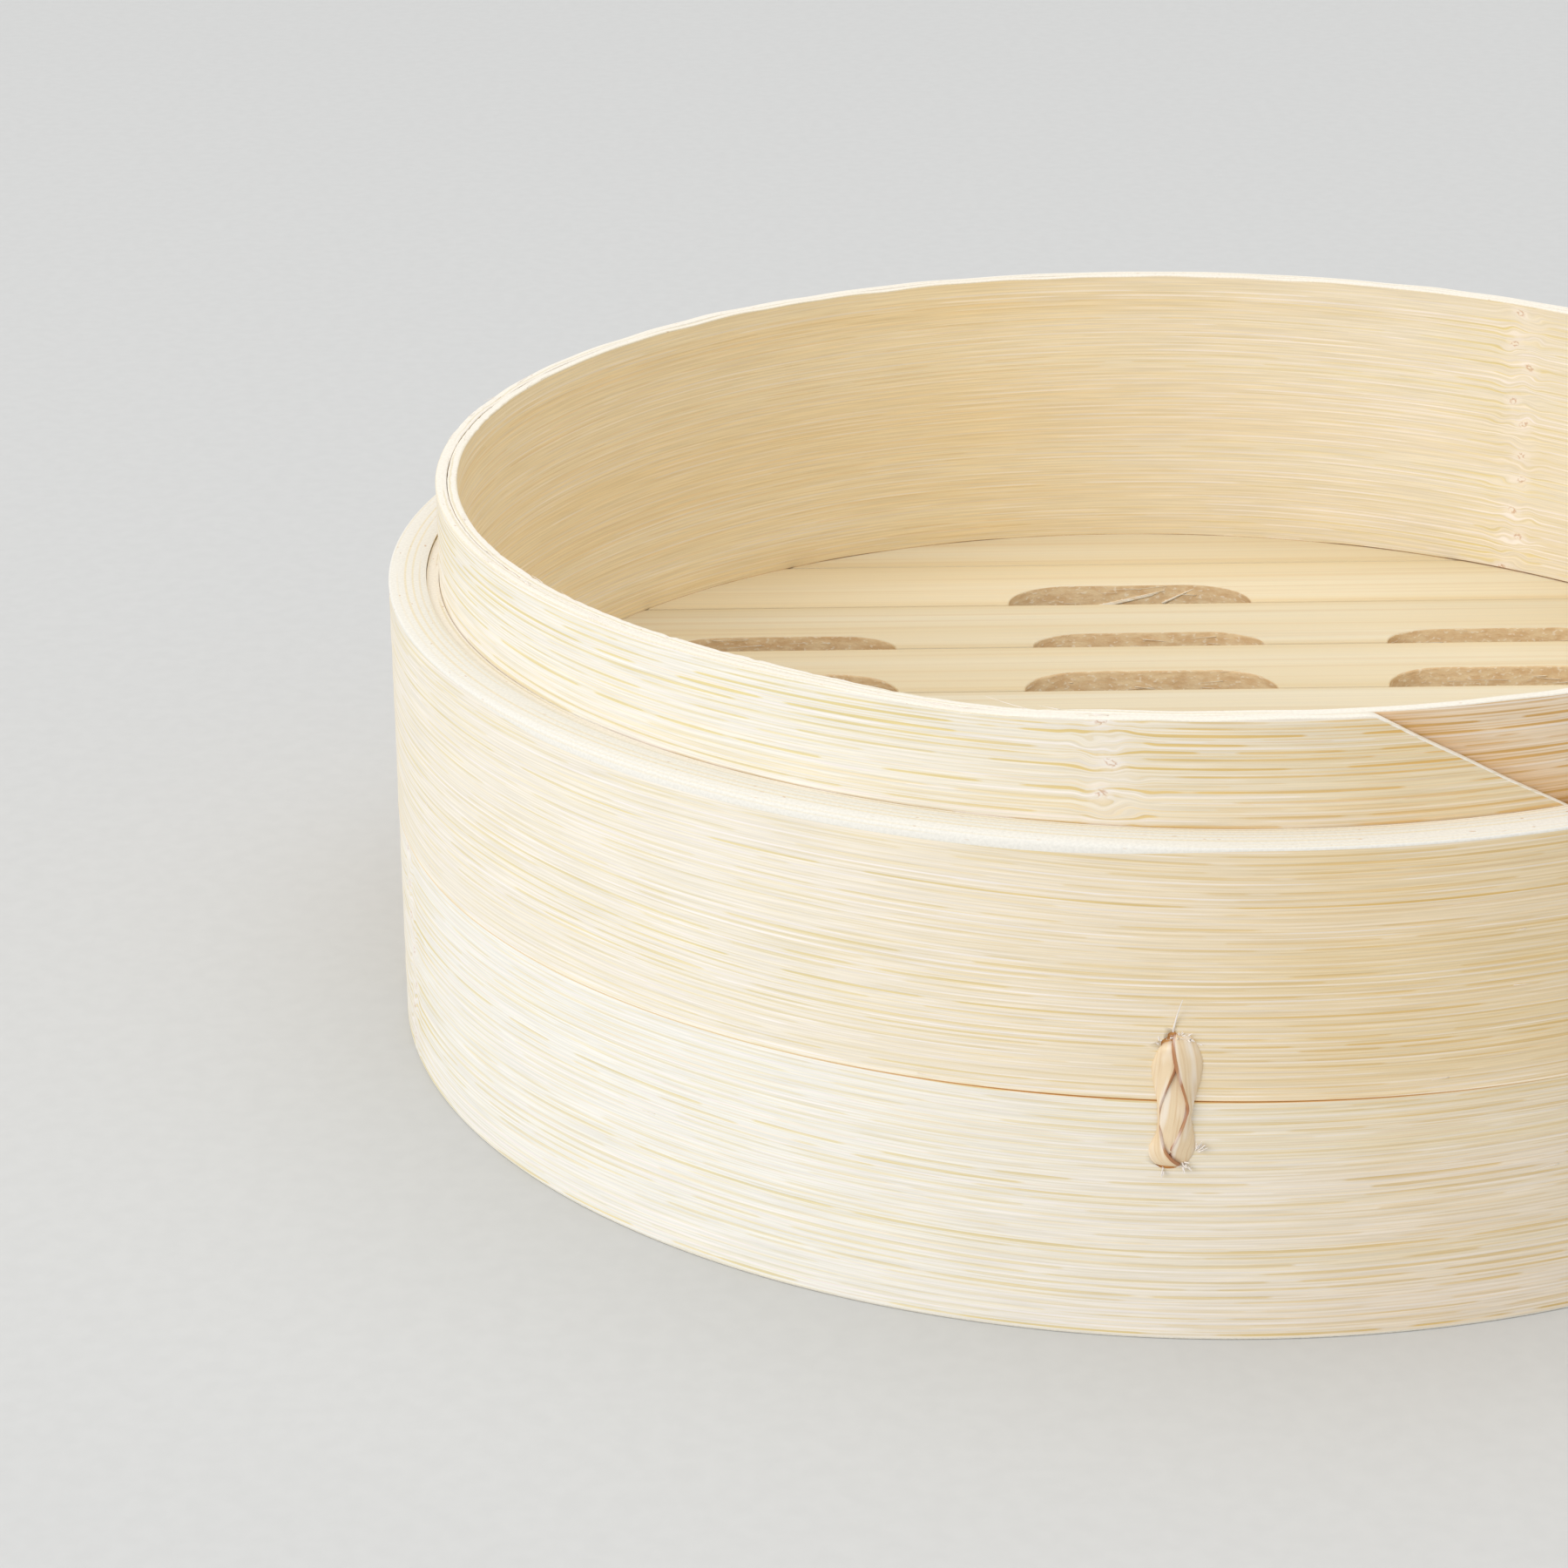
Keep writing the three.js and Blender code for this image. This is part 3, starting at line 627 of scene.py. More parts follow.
def strip_outline(station, eases, rows):
    """Closed outline of a strip's section, from its low inner corner outward, with eased corners.
    Each point is a radius, a height and the face that starts there."""
    inner, outer, low, high = station[1:]
    corners = [Vector(c) for c in ((inner, low), (outer, low), (outer, high), (inner, high))]
    most = min(outer - inner, high - low) * MOST_EASE
    points = []
    for i, face in enumerate(FACES):
        corner, before, after = corners[i], corners[i - 1], corners[(i + 1) % 4]
        ease = min(eases[i], most)
        start = corner + (before - corner).normalized() * ease
        end = corner + (after - corner).normalized() * ease
        for step in range(ARC_STEPS):
            t = step / ARC_STEPS
            points.append((*start.lerp(corner, t).lerp(corner.lerp(end, t), t), f"{face}_corner"))
        next_ease = min(eases[(i + 1) % 4], most)
        stop = after + (corner - after).normalized() * next_ease
        count = rows if face in ("outer", "inner") else EDGE_ROWS
        points += [(*end.lerp(stop, row / count), face) for row in range(count)]
    return points


EDGE = 2  # place of the material of the edges among a strip's materials
TORN = 3  # place of the torn or sawn material
SEAM = 4  # place of the material of the edges where the bands meet
RIDGE_LENGTH = 45 * MM
RIDGE_WIDTH = 1.7 * MM


def girth_of(stations):
    """Mean radius of a strip, by which its turn becomes a length along its grain."""
    return sum(s.inner + s.outer for s in stations) / (2 * len(stations))


def evenly(*eases):
    """The same easing of a strip's four corners all along it."""
    return lambda place: eases


def bent_strip(name, stations, eases_at, rows, materials, ridge, seed, special=None):
    """Mesh of a strip bent about the Z axis, its two faces slightly ridged along the fibres.
    Materials are those of the outer face, the inner face, the edges, what is cut into it and any that its
    special faces and corners take; a corner is named for the face after it."""
    mean = girth_of(stations)
    sheets = {"outer": 0, "inner": 1} | (special or {})
    vertices, grains = [], []
    for station in stations:
        along = station.angle * mean
        for radius, height, face in strip_outline(station, eases_at(station.angle), rows):
            if face in ("outer", "inner"):
                side = 1 if face == "outer" else -1
                spot = Vector((along / RIDGE_LENGTH, height / RIDGE_WIDTH, seed + side))
                radius += side * ridge * (noise.noise(spot) - 1)
            vertices.append((radius * math.cos(station.angle), radius * math.sin(station.angle), height))
            grains.append((along, height, radius, face))
    size = len(vertices) // len(stations)
    faces, kinds = [], []
    for base in range(0, len(vertices) - size, size):
        for j in range(size):
            a, b = base + j, base + (j + 1) % size
            faces.append((a, a + size, b + size, b))
            kinds.append(grains[a][3])
    last = len(vertices) - size
    faces.append(tuple(range(size)))
    faces.append(tuple(range(last + size - 1, last - 1, -1)))
    mesh = bpy.data.meshes.new(name)
    mesh.from_pydata(vertices, [], faces)
    layer = mesh.uv_layers.new(name=GRAIN)
    for polygon in mesh.polygons:
        kind = kinds[polygon.index] if polygon.index < len(kinds) else "end"
        polygon.use_smooth = kind != "end"
        polygon.material_index = sheets.get(kind, EDGE)
        for loop in polygon.loop_indices:
            along, height, radius, _ = grains[mesh.loops[loop].vertex_index]
            upright = kind in ("outer", "inner")
            layer.uv[loop].vector = (along, height) if upright else (along, radius - height)
    mesh.update()
    return link_piece(mesh, materials)


def carve(piece, cutters):
    """Cuts closed objects out of a piece, and deletes them."""
    for cutter in cutters:
        cut = piece.modifiers.new("cut", "BOOLEAN")
        cut.object = cutter
        cut.operation = "DIFFERENCE"
        cut.solver = "EXACT"
        cut.material_mode = "INDEX"
    bpy.context.view_layer.update()
    carved = bpy.data.meshes.new_from_object(piece.evaluated_get(bpy.context.evaluated_depsgraph_get()))
    plain = piece.data
    piece.modifiers.clear()
    piece.data = carved
    bpy.data.meshes.remove(plain)
    carved.name = piece.name
    for cutter in cutters:
        bpy.data.objects.remove(cutter)


def prism(name, outline, depth, matrix):
    """A closed prism of an outline in the XY plane, centred on it, placed by a matrix, to cut with."""
    shape, layer = new_shape()
    rings = [[shape.verts.new((x, y, z)) for x, y in outline] for z in (-depth / 2, depth / 2)]
    shape.faces.new(reversed(rings[0]))
    shape.faces.new(rings[1])
    for i in range(len(outline)):
        shape.faces.new((rings[0][i - 1], rings[0][i], rings[1][i], rings[1][i - 1]))
    shape.transform(matrix)
    for face in shape.faces:
        face.material_index = TORN
        for loop in face.loops:
            loop[layer].uv = (loop.vert.co.x, loop.vert.co.z)
    return link_piece(shape_mesh(name, shape), [])


CUT_DEPTH = 30 * MM  # of what is cut right through a strip

# Outlines of the craters torn round the tie holes, and of the holes, in millimetres from the tie's middle
UPPER_CRATER = ((-1.75, 6.36), (0.2, 6.36), (0.9, 7.42), (0.1, 8.21), (-0.35, 8.64), (-0.95, 8.21),
                (-1.0, 7.79), (-1.65, 7.31))
UPPER_HOLE = ((-1.1, 5.94), (1.3, 5.94), (1.3, 7.42), (-0.2, 7.42), (-1.1, 6.68))
LOWER_CRATER = ((-1.9, -7.0), (-1.95, -8.06), (-1.4, -8.43), (-0.6, -8.53), (0.3, -8.43), (0.75, -8.06),
                (0.8, -7.0))
LOWER_HOLE = ((-1.3, -6.57), (-1.3, -7.63), (0.8, -7.63), (0.9, -6.57))


def tie_frames(sizes):
    """Place of each tie, from (across, up, outward) beside its middle on the bands' outer face."""
    _, outer = radii("upper_band")
    for turn in (sizes.tie_angle, sizes.tie_angle + math.pi):
        outward = Vector((math.cos(turn), math.sin(turn), 0))
        across = Vector((-outward.y, outward.x, 0))
        middle = outward * outer + Vector((0, 0, sizes.tie_middle))
        basis = Matrix((across, (0, 0, 1), outward)).transposed()
        yield Matrix.Translation(middle) @ basis.to_4x4()


def tie_cutters(sizes, crater, hole):
    """Cutters for one crater and its hole at each tie."""
    depths = {crater: 2 * sizes.crater_depth, hole: CUT_DEPTH}
    cutters = []
    for place in tie_frames(sizes):
        for outline, depth in depths.items():
            corners = [(x * MM, z * MM) for x, z in outline]
            cutters.append(prism("tie_hole", corners, depth, place))
    return cutters


DIP_SPAN = math.radians(9.5)  # half the stretch over which the rim is low
CHIPS_AT = math.radians(-150)  # middle of the stretch where the rim is chipped
CHIPS_EDGES = (0.5, 0.9)  # cosines of the turn from there at which the chips start and are all there
WEAR_LENGTH = 9 * MM
CHIP_LENGTH = 1.7 * MM


def rim_fall(sizes, turn):
    """How far the worn, chipped and dipped rim lies below its full height."""
    along = turn * radii("neck_hoop")[1]
    wear = sizes.rim_wear * (0.5 + noise.noise(Vector((along / WEAR_LENGTH, 0, 4))))
    dip = sizes.rim_dip * math.exp(-(math.remainder(turn - sizes.rim_dip_at, math.tau) / DIP_SPAN) ** 2)
    chipped = smooth(math.cos(turn - CHIPS_AT), *CHIPS_EDGES)
    chips = sizes.rim_chips * max(0.0, noise.noise(Vector((along / CHIP_LENGTH, 0, 9)))) * chipped
    return wear + dip + chips


NECK_STEP = math.radians(0.6)
NECK_ROWS = 28  # faces up the side of the strip
NECK_NODES = (54, 189.06)  # first node and internode, in degrees along the strip
LIFT_EDGES = (0.74, 0.8)  # cosines of the turn from its middle at which the neck's foot lifts
FOOT_WAVES = 6  # the more, the shorter the waves of the neck's foot
FOOT_WAVER = 1.2  # height of those waves, as a share of the widest gap


class STEAMER_OT_neck_hoop(bpy.types.Operator):
    """Bends the neck strip into its two turns, down to the slanted end"""
    bl_idname = "steamer.neck_hoop"
    bl_label = "Bend the neck hoop"

    def execute(self, context):
        sizes, colours = context.scene.steamer_sizes, context.scene.steamer_colours
        inner, outer = radii("neck_hoop")
        foot, rim = heights("neck_hoop")
        _, deck = heights("slat_05")
        _, ledge = heights("upper_band")
        first_outer = inner + sizes.neck_thickness
        drop = math.tan(sizes.neck_cut_slope) * outer
        end = sizes.neck_cut_start + (rim - foot - sizes.neck_tip) / drop
        stations = []
        for turn in spread(0, end, NECK_STEP):
            climb = smooth(turn, sizes.neck_climb_start, sizes.neck_climb_start + sizes.neck_climb_span)
            fall = drop * max(0.0, turn - sizes.neck_cut_start)
            lift = smooth(math.cos(turn - sizes.neck_lift), *LIFT_EDGES)
            spot = Vector((FOOT_WAVES * math.cos(turn), FOOT_WAVES * math.sin(turn), 2))
            waver = FOOT_WAVER * noise.noise(spot)
            stations.append(Station(
                turn,
                inner + climb * (sizes.neck_thickness + sizes.layer_gap),
                first_outer + climb * (outer - first_outer),
                deck - sizes.slat_step / 2 + sizes.foot_gap * max(lift, 0.0, waver),
                rim - rim_fall(sizes, turn) - fall,
            ))
        girth = girth_of(stations)
        cut_slope = 1 / math.tan(sizes.neck_cut_slope)
        # Slope and start of the painted shadow that the slanted end casts.
        stain = (cut_slope, (sizes.neck_cut_start - math.tau) * girth + rim * cut_slope)
        outside = strip_look(
            colours, "neck", seed=1.0, spacing=0.95 * MM, contrast=1.0, nodes=NECK_NODES, girth=girth,
            fade=0.85, bare_turn=sizes.neck_climb_start, stain=stain, white_below=ledge + FOOT_FADE)
        # The inner face is painted greyer where the lamp falls on it: painted shade.
        inside = strip_look(
            colours, "pith", seed=5.0, spacing=1.0 * MM, contrast=0.4, nodes=NECK_NODES, girth=girth,
            fade=0.5, sun_side=45)
        materials = [
            split_bamboo("bamboo_split_neck", outside, colours),
            split_bamboo("bamboo_split_pith_side", inside, colours),
            sanded_edge("bamboo_sanded_rim", colours.rim, colours.edge_line, colours.edge_speck, 2.0),
            torn_hole(colours),
        ]
        eases = evenly(sizes.foot_ease, sizes.foot_ease, sizes.rim_ease, sizes.rim_ease)
        # The foot and its corners take the raw brown of torn bamboo, which also paints the warm shade in
        # the gap under the neck.
        piece = bent_strip("bent_neck_hoop", stations, eases, NECK_ROWS, materials, sizes.ridge, 1,
                           {"foot": TORN, "foot_corner": TORN})
        dress(piece, "neck_hoop")
        return {"FINISHED"}


BAND_STEP = math.radians(1)
BAND_ROWS = 36  # faces up the side of a band
SEAM_WAVES = 5  # the more, the shorter the waves of the seam
TIE_PULL = 40  # the more, the nearer to the ties the seam opens
WORN_EDGES = (0.85, 0.97)  # cosines of the turn from its middle at which the wear starts and is full

# Fibres of the bands: seed, spacing, strength, and the first node and the internode in degrees
BAND_FIBRES = {"upper": (21.0, 0.85 * MM, 0.65, (136, 186)), "lower": (31.0, 0.95 * MM, 0.75, (195, 186))}
# Sides of the bands that face the lamp, where light is painted: how much painted highlight they take, and
# where they are, in degrees
BAND_LIT_SIDES = {"upper": (0.72, -145), "lower": (0.95, -140)}
# Faces and corners of the bands where they meet
SEAM_FACES = {
    "upper": {"foot": SEAM, "outer_corner": SEAM},
    "lower": {"top": SEAM, "top_corner": SEAM},
}
TIE_HOLES = {"upper": (UPPER_CRATER, UPPER_HOLE), "lower": (LOWER_CRATER, LOWER_HOLE)}


def lapped_stations(sizes, node, lap, low_at, high_at):
    """Stations of a band whose two ends lap each other on a long slant."""
    inner, outer = radii(node)
    thickness = outer - inner
    gap = sizes.layer_gap
    feathered = sizes.lap_span * (sizes.lap_feather + gap / 2) / thickness
    turns = spread(feathered, math.tau + sizes.lap_span - feathered, BAND_STEP)
    stations = []
    for turn in turns:
        split = inner + thickness * turn / sizes.lap_span
        split_before = inner + thickness * (turn - math.tau) / sizes.lap_span
        place = lap + turn
        stations.append(Station(
            place,
            max(inner, split_before + gap / 2),
            min(outer, split - gap / 2),
            low_at(place),
            high_at(place),
        ))
    return stations


class STEAMER_OT_bands(bpy.types.Operator):
    """Bends the two thick outer bands and tears their tie holes"""
    bl_idname = "steamer.bands"
    bl_label = "Bend the bands"

    def execute(self, context):
        sizes, colours = context.scene.steamer_sizes, context.scene.steamer_colours
        _, ledge = heights("upper_band")
        base, seam = heights("lower_band")
        torn = torn_hole(colours)
        edge = sanded_edge("bamboo_sanded_ledge", colours.edge, colours.edge_line, colours.edge_speck, 7.0)

        def gap_at(place):
            spot = Vector((SEAM_WAVES * math.cos(place), SEAM_WAVES * math.sin(place), 8))
            waver = 0.5 + 0.5 * noise.noise(spot)
            near_tie = math.cos(place - sizes.tie_angle) ** TIE_PULL
            return sizes.seam_gap * (0.05 + 0.2 * waver + 0.75 * near_tie)

        def ledge_eases(place):
            worn = smooth(math.cos(place - sizes.ledge_worn_at), *WORN_EDGES)
            sanded = sizes.ledge_ease + sizes.ledge_worn * worn
            return sizes.edge_ease, sizes.seam_ease, sanded, sizes.seam_ease

        spans = {
            "upper": (lambda place: seam + gap_at(place), lambda place: ledge),
            "lower": (lambda place: base, lambda place: seam),
        }
        eases = {
            "upper": ledge_eases,
            "lower": evenly(sizes.edge_ease, sizes.edge_ease, sizes.seam_ease, sizes.edge_ease),
        }
        laps = {"upper": sizes.upper_lap, "lower": sizes.lower_lap}
        for seed, part in enumerate(("upper", "lower")):
            node = f"{part}_band"
            stations = lapped_stations(sizes, node, laps[part], *spans[part])
            look = strip_look(colours, part, *BAND_FIBRES[part], girth_of(stations), *BAND_LIT_SIDES[part])
            face = split_bamboo(f"bamboo_split_{part}", look, colours)
            materials = [face, face, edge, torn, seam_painted_shade(part, look, colours, sizes.tie_angle)]
            piece = bent_strip(f"bent_{node}", stations, eases[part], BAND_ROWS, materials, sizes.ridge,
                               10 + seed, SEAM_FACES[part])
            carve(piece, tie_cutters(sizes, *TIE_HOLES[part]))
            dress(piece, node)
        return {"FINISHED"}


HOOP_STEP = math.radians(1.5)
LINER_ROWS = 20  # faces up the side of the liner
FOOT_ROWS = 10  # faces up the side of the foot hoop
WINDOW_HALF = (3 * MM, 9.6 * MM)  # half the width and half the height of the liner's windows


def hoop_stations(sizes, node, joint, inner, outer, drop=0.0):
    """Stations of a single turn whose ends butt with a small gap, its top lowered by drop."""
    low, high = heights(node)
    half = sizes.butt_gap / 2 / outer
    turns = spread(joint + half, joint + math.tau - half, HOOP_STEP)
    return [Station(turn, inner, outer, low, high - drop) for turn in turns]


def rough_bamboo(colours):
    """The look of roughly split bamboo that hides inside the walls."""
    return strip_look(
        colours, "hidden", seed=51.0, spacing=1.5 * MM, contrast=0.6, nodes=(60, 190), girth=0.1, fade=0.0)


class STEAMER_OT_hoops(bpy.types.Operator):
    """Bends the liner and the foot hoop, and cuts their windows and notches"""
    bl_idname = "steamer.hoops"
    bl_label = "Bend the liner and the foot hoop"

    def execute(self, context):
        sizes, colours = context.scene.steamer_sizes, context.scene.steamer_colours
        rough = split_bamboo("bamboo_split_rough", rough_bamboo(colours), colours)
        edge = sanded_edge("bamboo_sanded_liner", colours.rim, colours.edge_line, colours.edge_speck, 11.0)
        torn = torn_hole(colours)
        eases = evenly(*[sizes.rim_ease] * 4)
        _, neck_outer = radii("neck_hoop")
        band_inner, _ = radii("upper_band")
        liner_stations = hoop_stations(
            sizes, "liner_hoop", sizes.liner_joint, neck_outer + sizes.fit_gap, band_inner - sizes.fit_gap,
            sizes.liner_drop)
        liner = bent_strip("bent_liner_hoop", liner_stations, evenly(*[sizes.seam_ease] * 4),
                           LINER_ROWS, [rough, rough, edge, torn], 0.0, 20)
        across, up = WINDOW_HALF
        window = [(-across, -up), (across, -up), (across, up), (-across, up)]
        carve(liner, [prism(f"window_{i}", window, CUT_DEPTH, place)
                      for i, place in enumerate(tie_frames(sizes))])
        dress(liner, "liner_hoop")
        foot_stations = hoop_stations(sizes, "foot_hoop", sizes.foot_joint, *radii("foot_hoop"))
        foot = bent_strip("bent_foot_hoop", foot_stations, eases,
                          FOOT_ROWS, [rough, rough, edge, torn], sizes.ridge, 21)
        carve(foot, bar_cutters(sizes))
        dress(foot, "foot_hoop")
        return {"FINISHED"}


def deck_turn(sizes):
    """Turn of the slats and crossbars about the Z axis."""
    return Matrix.Rotation(sizes.slat_turn, 4, "Z")


def deck_box(sizes, node):
    """Lowest and highest corner of a node in the turned deck."""
    back = deck_turn(sizes).inverted()
    corners = [back @ corner.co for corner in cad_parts[node].data.vertices]
    low = Vector(min(corner[i] for corner in corners) for i in range(3))
    high = Vector(max(corner[i] for corner in corners) for i in range(3))
    return low, high


CROSSBARS = ("crossbar_1", "crossbar_2")
NOTCH_ROOM = 0.25 * MM  # gap between a crossbar and its notch
NOTCH_RISE = 3 * MM  # how far a notch is cut past the top of its crossbar


def bar_cutters(sizes):
    """Cutters for the notches that the crossbars lie in."""
    cutters = []
    for name in CROSSBARS:
        low, high = deck_box(sizes, name)
        left, right = low.x - NOTCH_ROOM, high.x + NOTCH_ROOM
        under, over = low.z - NOTCH_ROOM, high.z + NOTCH_RISE
        outline = ((left, under), (right, under), (right, over), (left, over))
        upright = Matrix.Rotation(math.pi / 2, 4, "X")
        depth = 3 * high.y
        cutters.append(prism(f"notch_{name}", outline, depth, deck_turn(sizes) @ upright))
    return cutters


def slot_columns(sizes):
    """Middles of the columns of steam slots, along the slats."""
    return [sizes.slot_shift + sizes.slot_pitch * column for column in (-1, 0, 1)]


def slot_places(sizes, front):
    """Middles of the slots that fit into a slat's front edge."""
    neck_inner, _ = radii("neck_hoop")
    limit = neck_inner - sizes.slot_margin
    places = []
    for column in slot_columns(sizes):
        across = abs(column) + sizes.slot_length / 2
        tip = math.hypot(across, front)
        back = math.hypot(across - sizes.slot_round, front + sizes.slot_depth)
        if max(tip, back) < limit and abs(front) < limit:
            places.append(column)
    return places


SLOT_ARC_STEPS = 10
SLOT_STEP = 1.2 * MM  # distance between the points of a slot's straight back
SAW_WAVE = 4 * MM  # length over which a slot's sawn back strays
SLAT_END_STEP = math.radians(2)  # turn between the points of a slat's rounded end
LEAST_STEP = 1e-6  # points of an outline that lie closer, in metres, are one


def slot_waver(sizes, x, front):
    """How far a slot's sawn back strays at a place along it."""
    return sizes.slot_waver * noise.noise(Vector((x / SAW_WAVE, front / MM, 3)))


def slot_curve(sizes, slot, front):
    """Points of a slot's curved and slightly uneven back, from its left tip to its right tip."""
    left, right = slot.column - slot.length / 2, slot.column + slot.length / 2
    turns = [math.pi / 2 * i / SLOT_ARC_STEPS for i in range(SLOT_ARC_STEPS + 1)]
    bend = sizes.slot_round
    rise = [(left + bend * (1 - math.cos(a)), math.sin(a)) for a in turns]
    back = [(x, 1.0) for x in spread(left + bend, right - bend, SLOT_STEP)[1:-1]]
    fall = [(right - bend * (1 - math.cos(a)), math.sin(a)) for a in reversed(turns)]
    return [(x, front + share * (slot.depth + slot_waver(sizes, x, front)))
            for x, share in rise + back + fall]


def slat_outline(sizes, front, rear, reach, slots):
    """Outline of a slat from above, counter-clockwise; each point says if a saw cut the edge after it."""
    start, stop = (math.asin(max(-1.0, min(1.0, y / reach))) for y in (front, rear))
    arc = [(reach * math.cos(a), reach * math.sin(a)) for a in spread(start, stop, SLAT_END_STEP)]
    points = [(-arc[0][0], arc[0][1], False)]
    for slot in slots:
        curve = slot_curve(sizes, slot, front)
        points += [(x, y, True) for x, y in curve[:-1]] + [(*curve[-1], False)]
    points += [(x, y, False) for x, y in arc]
    points += [(-x, y, False) for x, y in reversed(arc[1:])]
    return [p for i, p in enumerate(points) if math.dist(p[:2], points[i - 1][:2]) > LEAST_STEP]


SlatPlan = namedtuple("SlatPlan", "name low high reach slots step tilt")
Slot = namedtuple("Slot", "column length depth")

# Slots in plain sight, in millimetres: how far they lie aside, their length and their depth
SEEN_SLOTS = {"slat_02": (0.65, 36.2, 8.5), "slat_03": (1.7, 33.5, 5.7), "slat_04": (0.3, 35.6, 7.4)}

OUTER_ASIDE = -1.05 * MM  # how far those of the outer columns lie aside of the others
SLOT_DEPTHS = (0.8, 1.15)  # least and greatest depth of the other slots, as shares of the slot depth
SLOT_ASIDE = 1 * MM  # how far the other slots may lie aside
SLAT_SEED = 11  # of the random depths, places and tilts
SLAT_TILT = 0.004  # greatest slope of a slat from its front to its rear


def slat_plans(sizes):
    """Places and slots of the slats."""
    dice = random.Random(SLAT_SEED)
    plans = []
    for name in sorted(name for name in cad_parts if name.startswith("slat_")):
        low, high = deck_box(sizes, name)
        _, reach = radii(name)
        slots = []
        for column in slot_places(sizes, low.y):
            depth = sizes.slot_depth * dice.uniform(*SLOT_DEPTHS)
            slot = Slot(column + dice.uniform(-1, 1) * SLOT_ASIDE, sizes.slot_length, depth)
            if name in SEEN_SLOTS:
                aside, long, deep = (value * MM for value in SEEN_SLOTS[name])
                aside += OUTER_ASIDE if column != slot_columns(sizes)[1] else 0.0
                slot = Slot(column + aside, long, deep)
            slots.append(slot)
        step = sizes.slat_step * dice.uniform(-1, 0)
        tilt = dice.uniform(-SLAT_TILT, SLAT_TILT)
        plans.append(SlatPlan(name, low, high, reach, slots, step, tilt))
    return plans


def slat_mesh(name, outline, low, high_at, front, slope, shift):
    """Mesh of a slat; its slots slope forward underneath, and shift moves its grain so that no two slats
    look alike."""
    shape, layer = new_shape()
    under = [shape.verts.new((x, y - slope * smooth(y, front, front + 2 * slope) if sawn else y, low))
             for x, y, sawn in outline]
    over = [shape.verts.new((x, y, high_at(y))) for x, y, _ in outline]
    caps = [shape.faces.new(over), shape.faces.new(reversed(under))]
    for cap in caps:
        for loop in cap.loops:
            loop[layer].uv = (loop.vert.co.x + shift, loop.vert.co.y + shift)
    for i, (_, _, sawn) in enumerate(outline):
        j = (i + 1) % len(outline)
        side = shape.faces.new((under[i], under[j], over[j], over[i]))
        side.material_index = 1 if sawn else 0
        for loop in side.loops:
            loop[layer].uv = (loop.vert.co.x + shift, loop.vert.co.z + shift)
    for face in shape.faces:
        face.smooth = True
    return shape_mesh(name, shape)


SHARP = math.radians(40)  # least angle between two faces whose edge is eased


def ease_edges(piece, width, steps):
    """Eases a piece's sharp edges, its flat faces staying flat to the eye."""
    bevel = piece.modifiers.new("eased", "BEVEL")
    bevel.width = width
    bevel.segments = steps
    bevel.limit_method = "ANGLE"
    bevel.angle_limit = SHARP
    piece.modifiers.new("flat", "WEIGHTED_NORMAL")


class STEAMER_OT_slats(bpy.types.Operator):
    """Planes the floor slats and saws the steam slots into their front edges"""
    bl_idname = "steamer.slats"
    bl_label = "Plane the slats"

    def execute(self, context):
        sizes, colours = context.scene.steamer_sizes, context.scene.steamer_colours
        sawn = torn_face("bamboo_sawn_slot", colours.sawn, colours.sawn_dark, colours.sawn_light)
        joint, next_joint = (deck_box(sizes, name)[0].y for name in ("slat_05", "slat_04"))
        materials = [planed_slat(colours, joint, next_joint - joint), sawn]
        for i, plan in enumerate(slat_plans(sizes)):
            front, rear = plan.low.y + sizes.slat_gap, plan.high.y - sizes.slat_gap
            outline = slat_outline(sizes, front, rear, plan.reach, plan.slots)
            middle = (front + rear) / 2
            mesh = slat_mesh(f"planed_{plan.name}", outline, plan.low.z,
                             lambda y: plan.high.z + plan.step + plan.tilt * (y - middle),
                             front, sizes.slot_slope, SLAT_SHIFT * i)
            mesh.transform(deck_turn(sizes))
            piece = link_piece(mesh, materials)
            ease_edges(piece, sizes.slat_ease, 3)
            dress(piece, plan.name)
        return {"FINISHED"}


BAR_STEPS = 24
BAR_SIDES = 6  # faces across half a crossbar


class STEAMER_OT_crossbars(bpy.types.Operator):
    """Shapes the two split bars under the slats, flat on top and crowned underneath"""
    bl_idname = "steamer.crossbars"
    bl_label = "Shape the crossbars"

    def execute(self, context):
        sizes, colours = context.scene.steamer_sizes, context.scene.steamer_colours
        rough = split_bamboo("bamboo_split_bar", rough_bamboo(colours), colours)
        for i, name in enumerate(CROSSBARS):
            low, high = deck_box(sizes, name)
            _, reach = radii(name)
            half = (high.x - low.x) / 2
            middle = (high.x + low.x) / 2
            under = [(x, low.z + sizes.bar_crown * (x / half) ** 2)
                     for x in spread(-half, half, half / BAR_SIDES)]
            over = [(x, high.z) for x in spread(half, -half, -half / BAR_SIDES)]
            profile = under + over
            shape, layer = new_shape()
            rings = []
            for share in spread(-1, 1, 2 / BAR_STEPS):
                rings.append([
                    shape.verts.new((middle + x, share * math.sqrt(reach ** 2 - (middle + x) ** 2), z))
                    for x, z in profile])
            for ring, after in zip(rings, rings[1:]):
                for j in range(len(profile)):
                    shape.faces.new((ring[j - 1], ring[j], after[j], after[j - 1]))
            shape.faces.new(rings[0])
            shape.faces.new(reversed(rings[-1]))
            bmesh.ops.recalc_face_normals(shape, faces=shape.faces)
            for face in shape.faces:
                face.smooth = True
                for loop in face.loops:
                    loop[layer].uv = (loop.vert.co.y + i, loop.vert.co.x + loop.vert.co.z)
            mesh = shape_mesh(f"split_{name}", shape)
            mesh.transform(deck_turn(sizes))
            piece = link_piece(mesh, [rough])
            ease_edges(piece, sizes.slat_ease, 2)
            dress(piece, name)
        return {"FINISHED"}


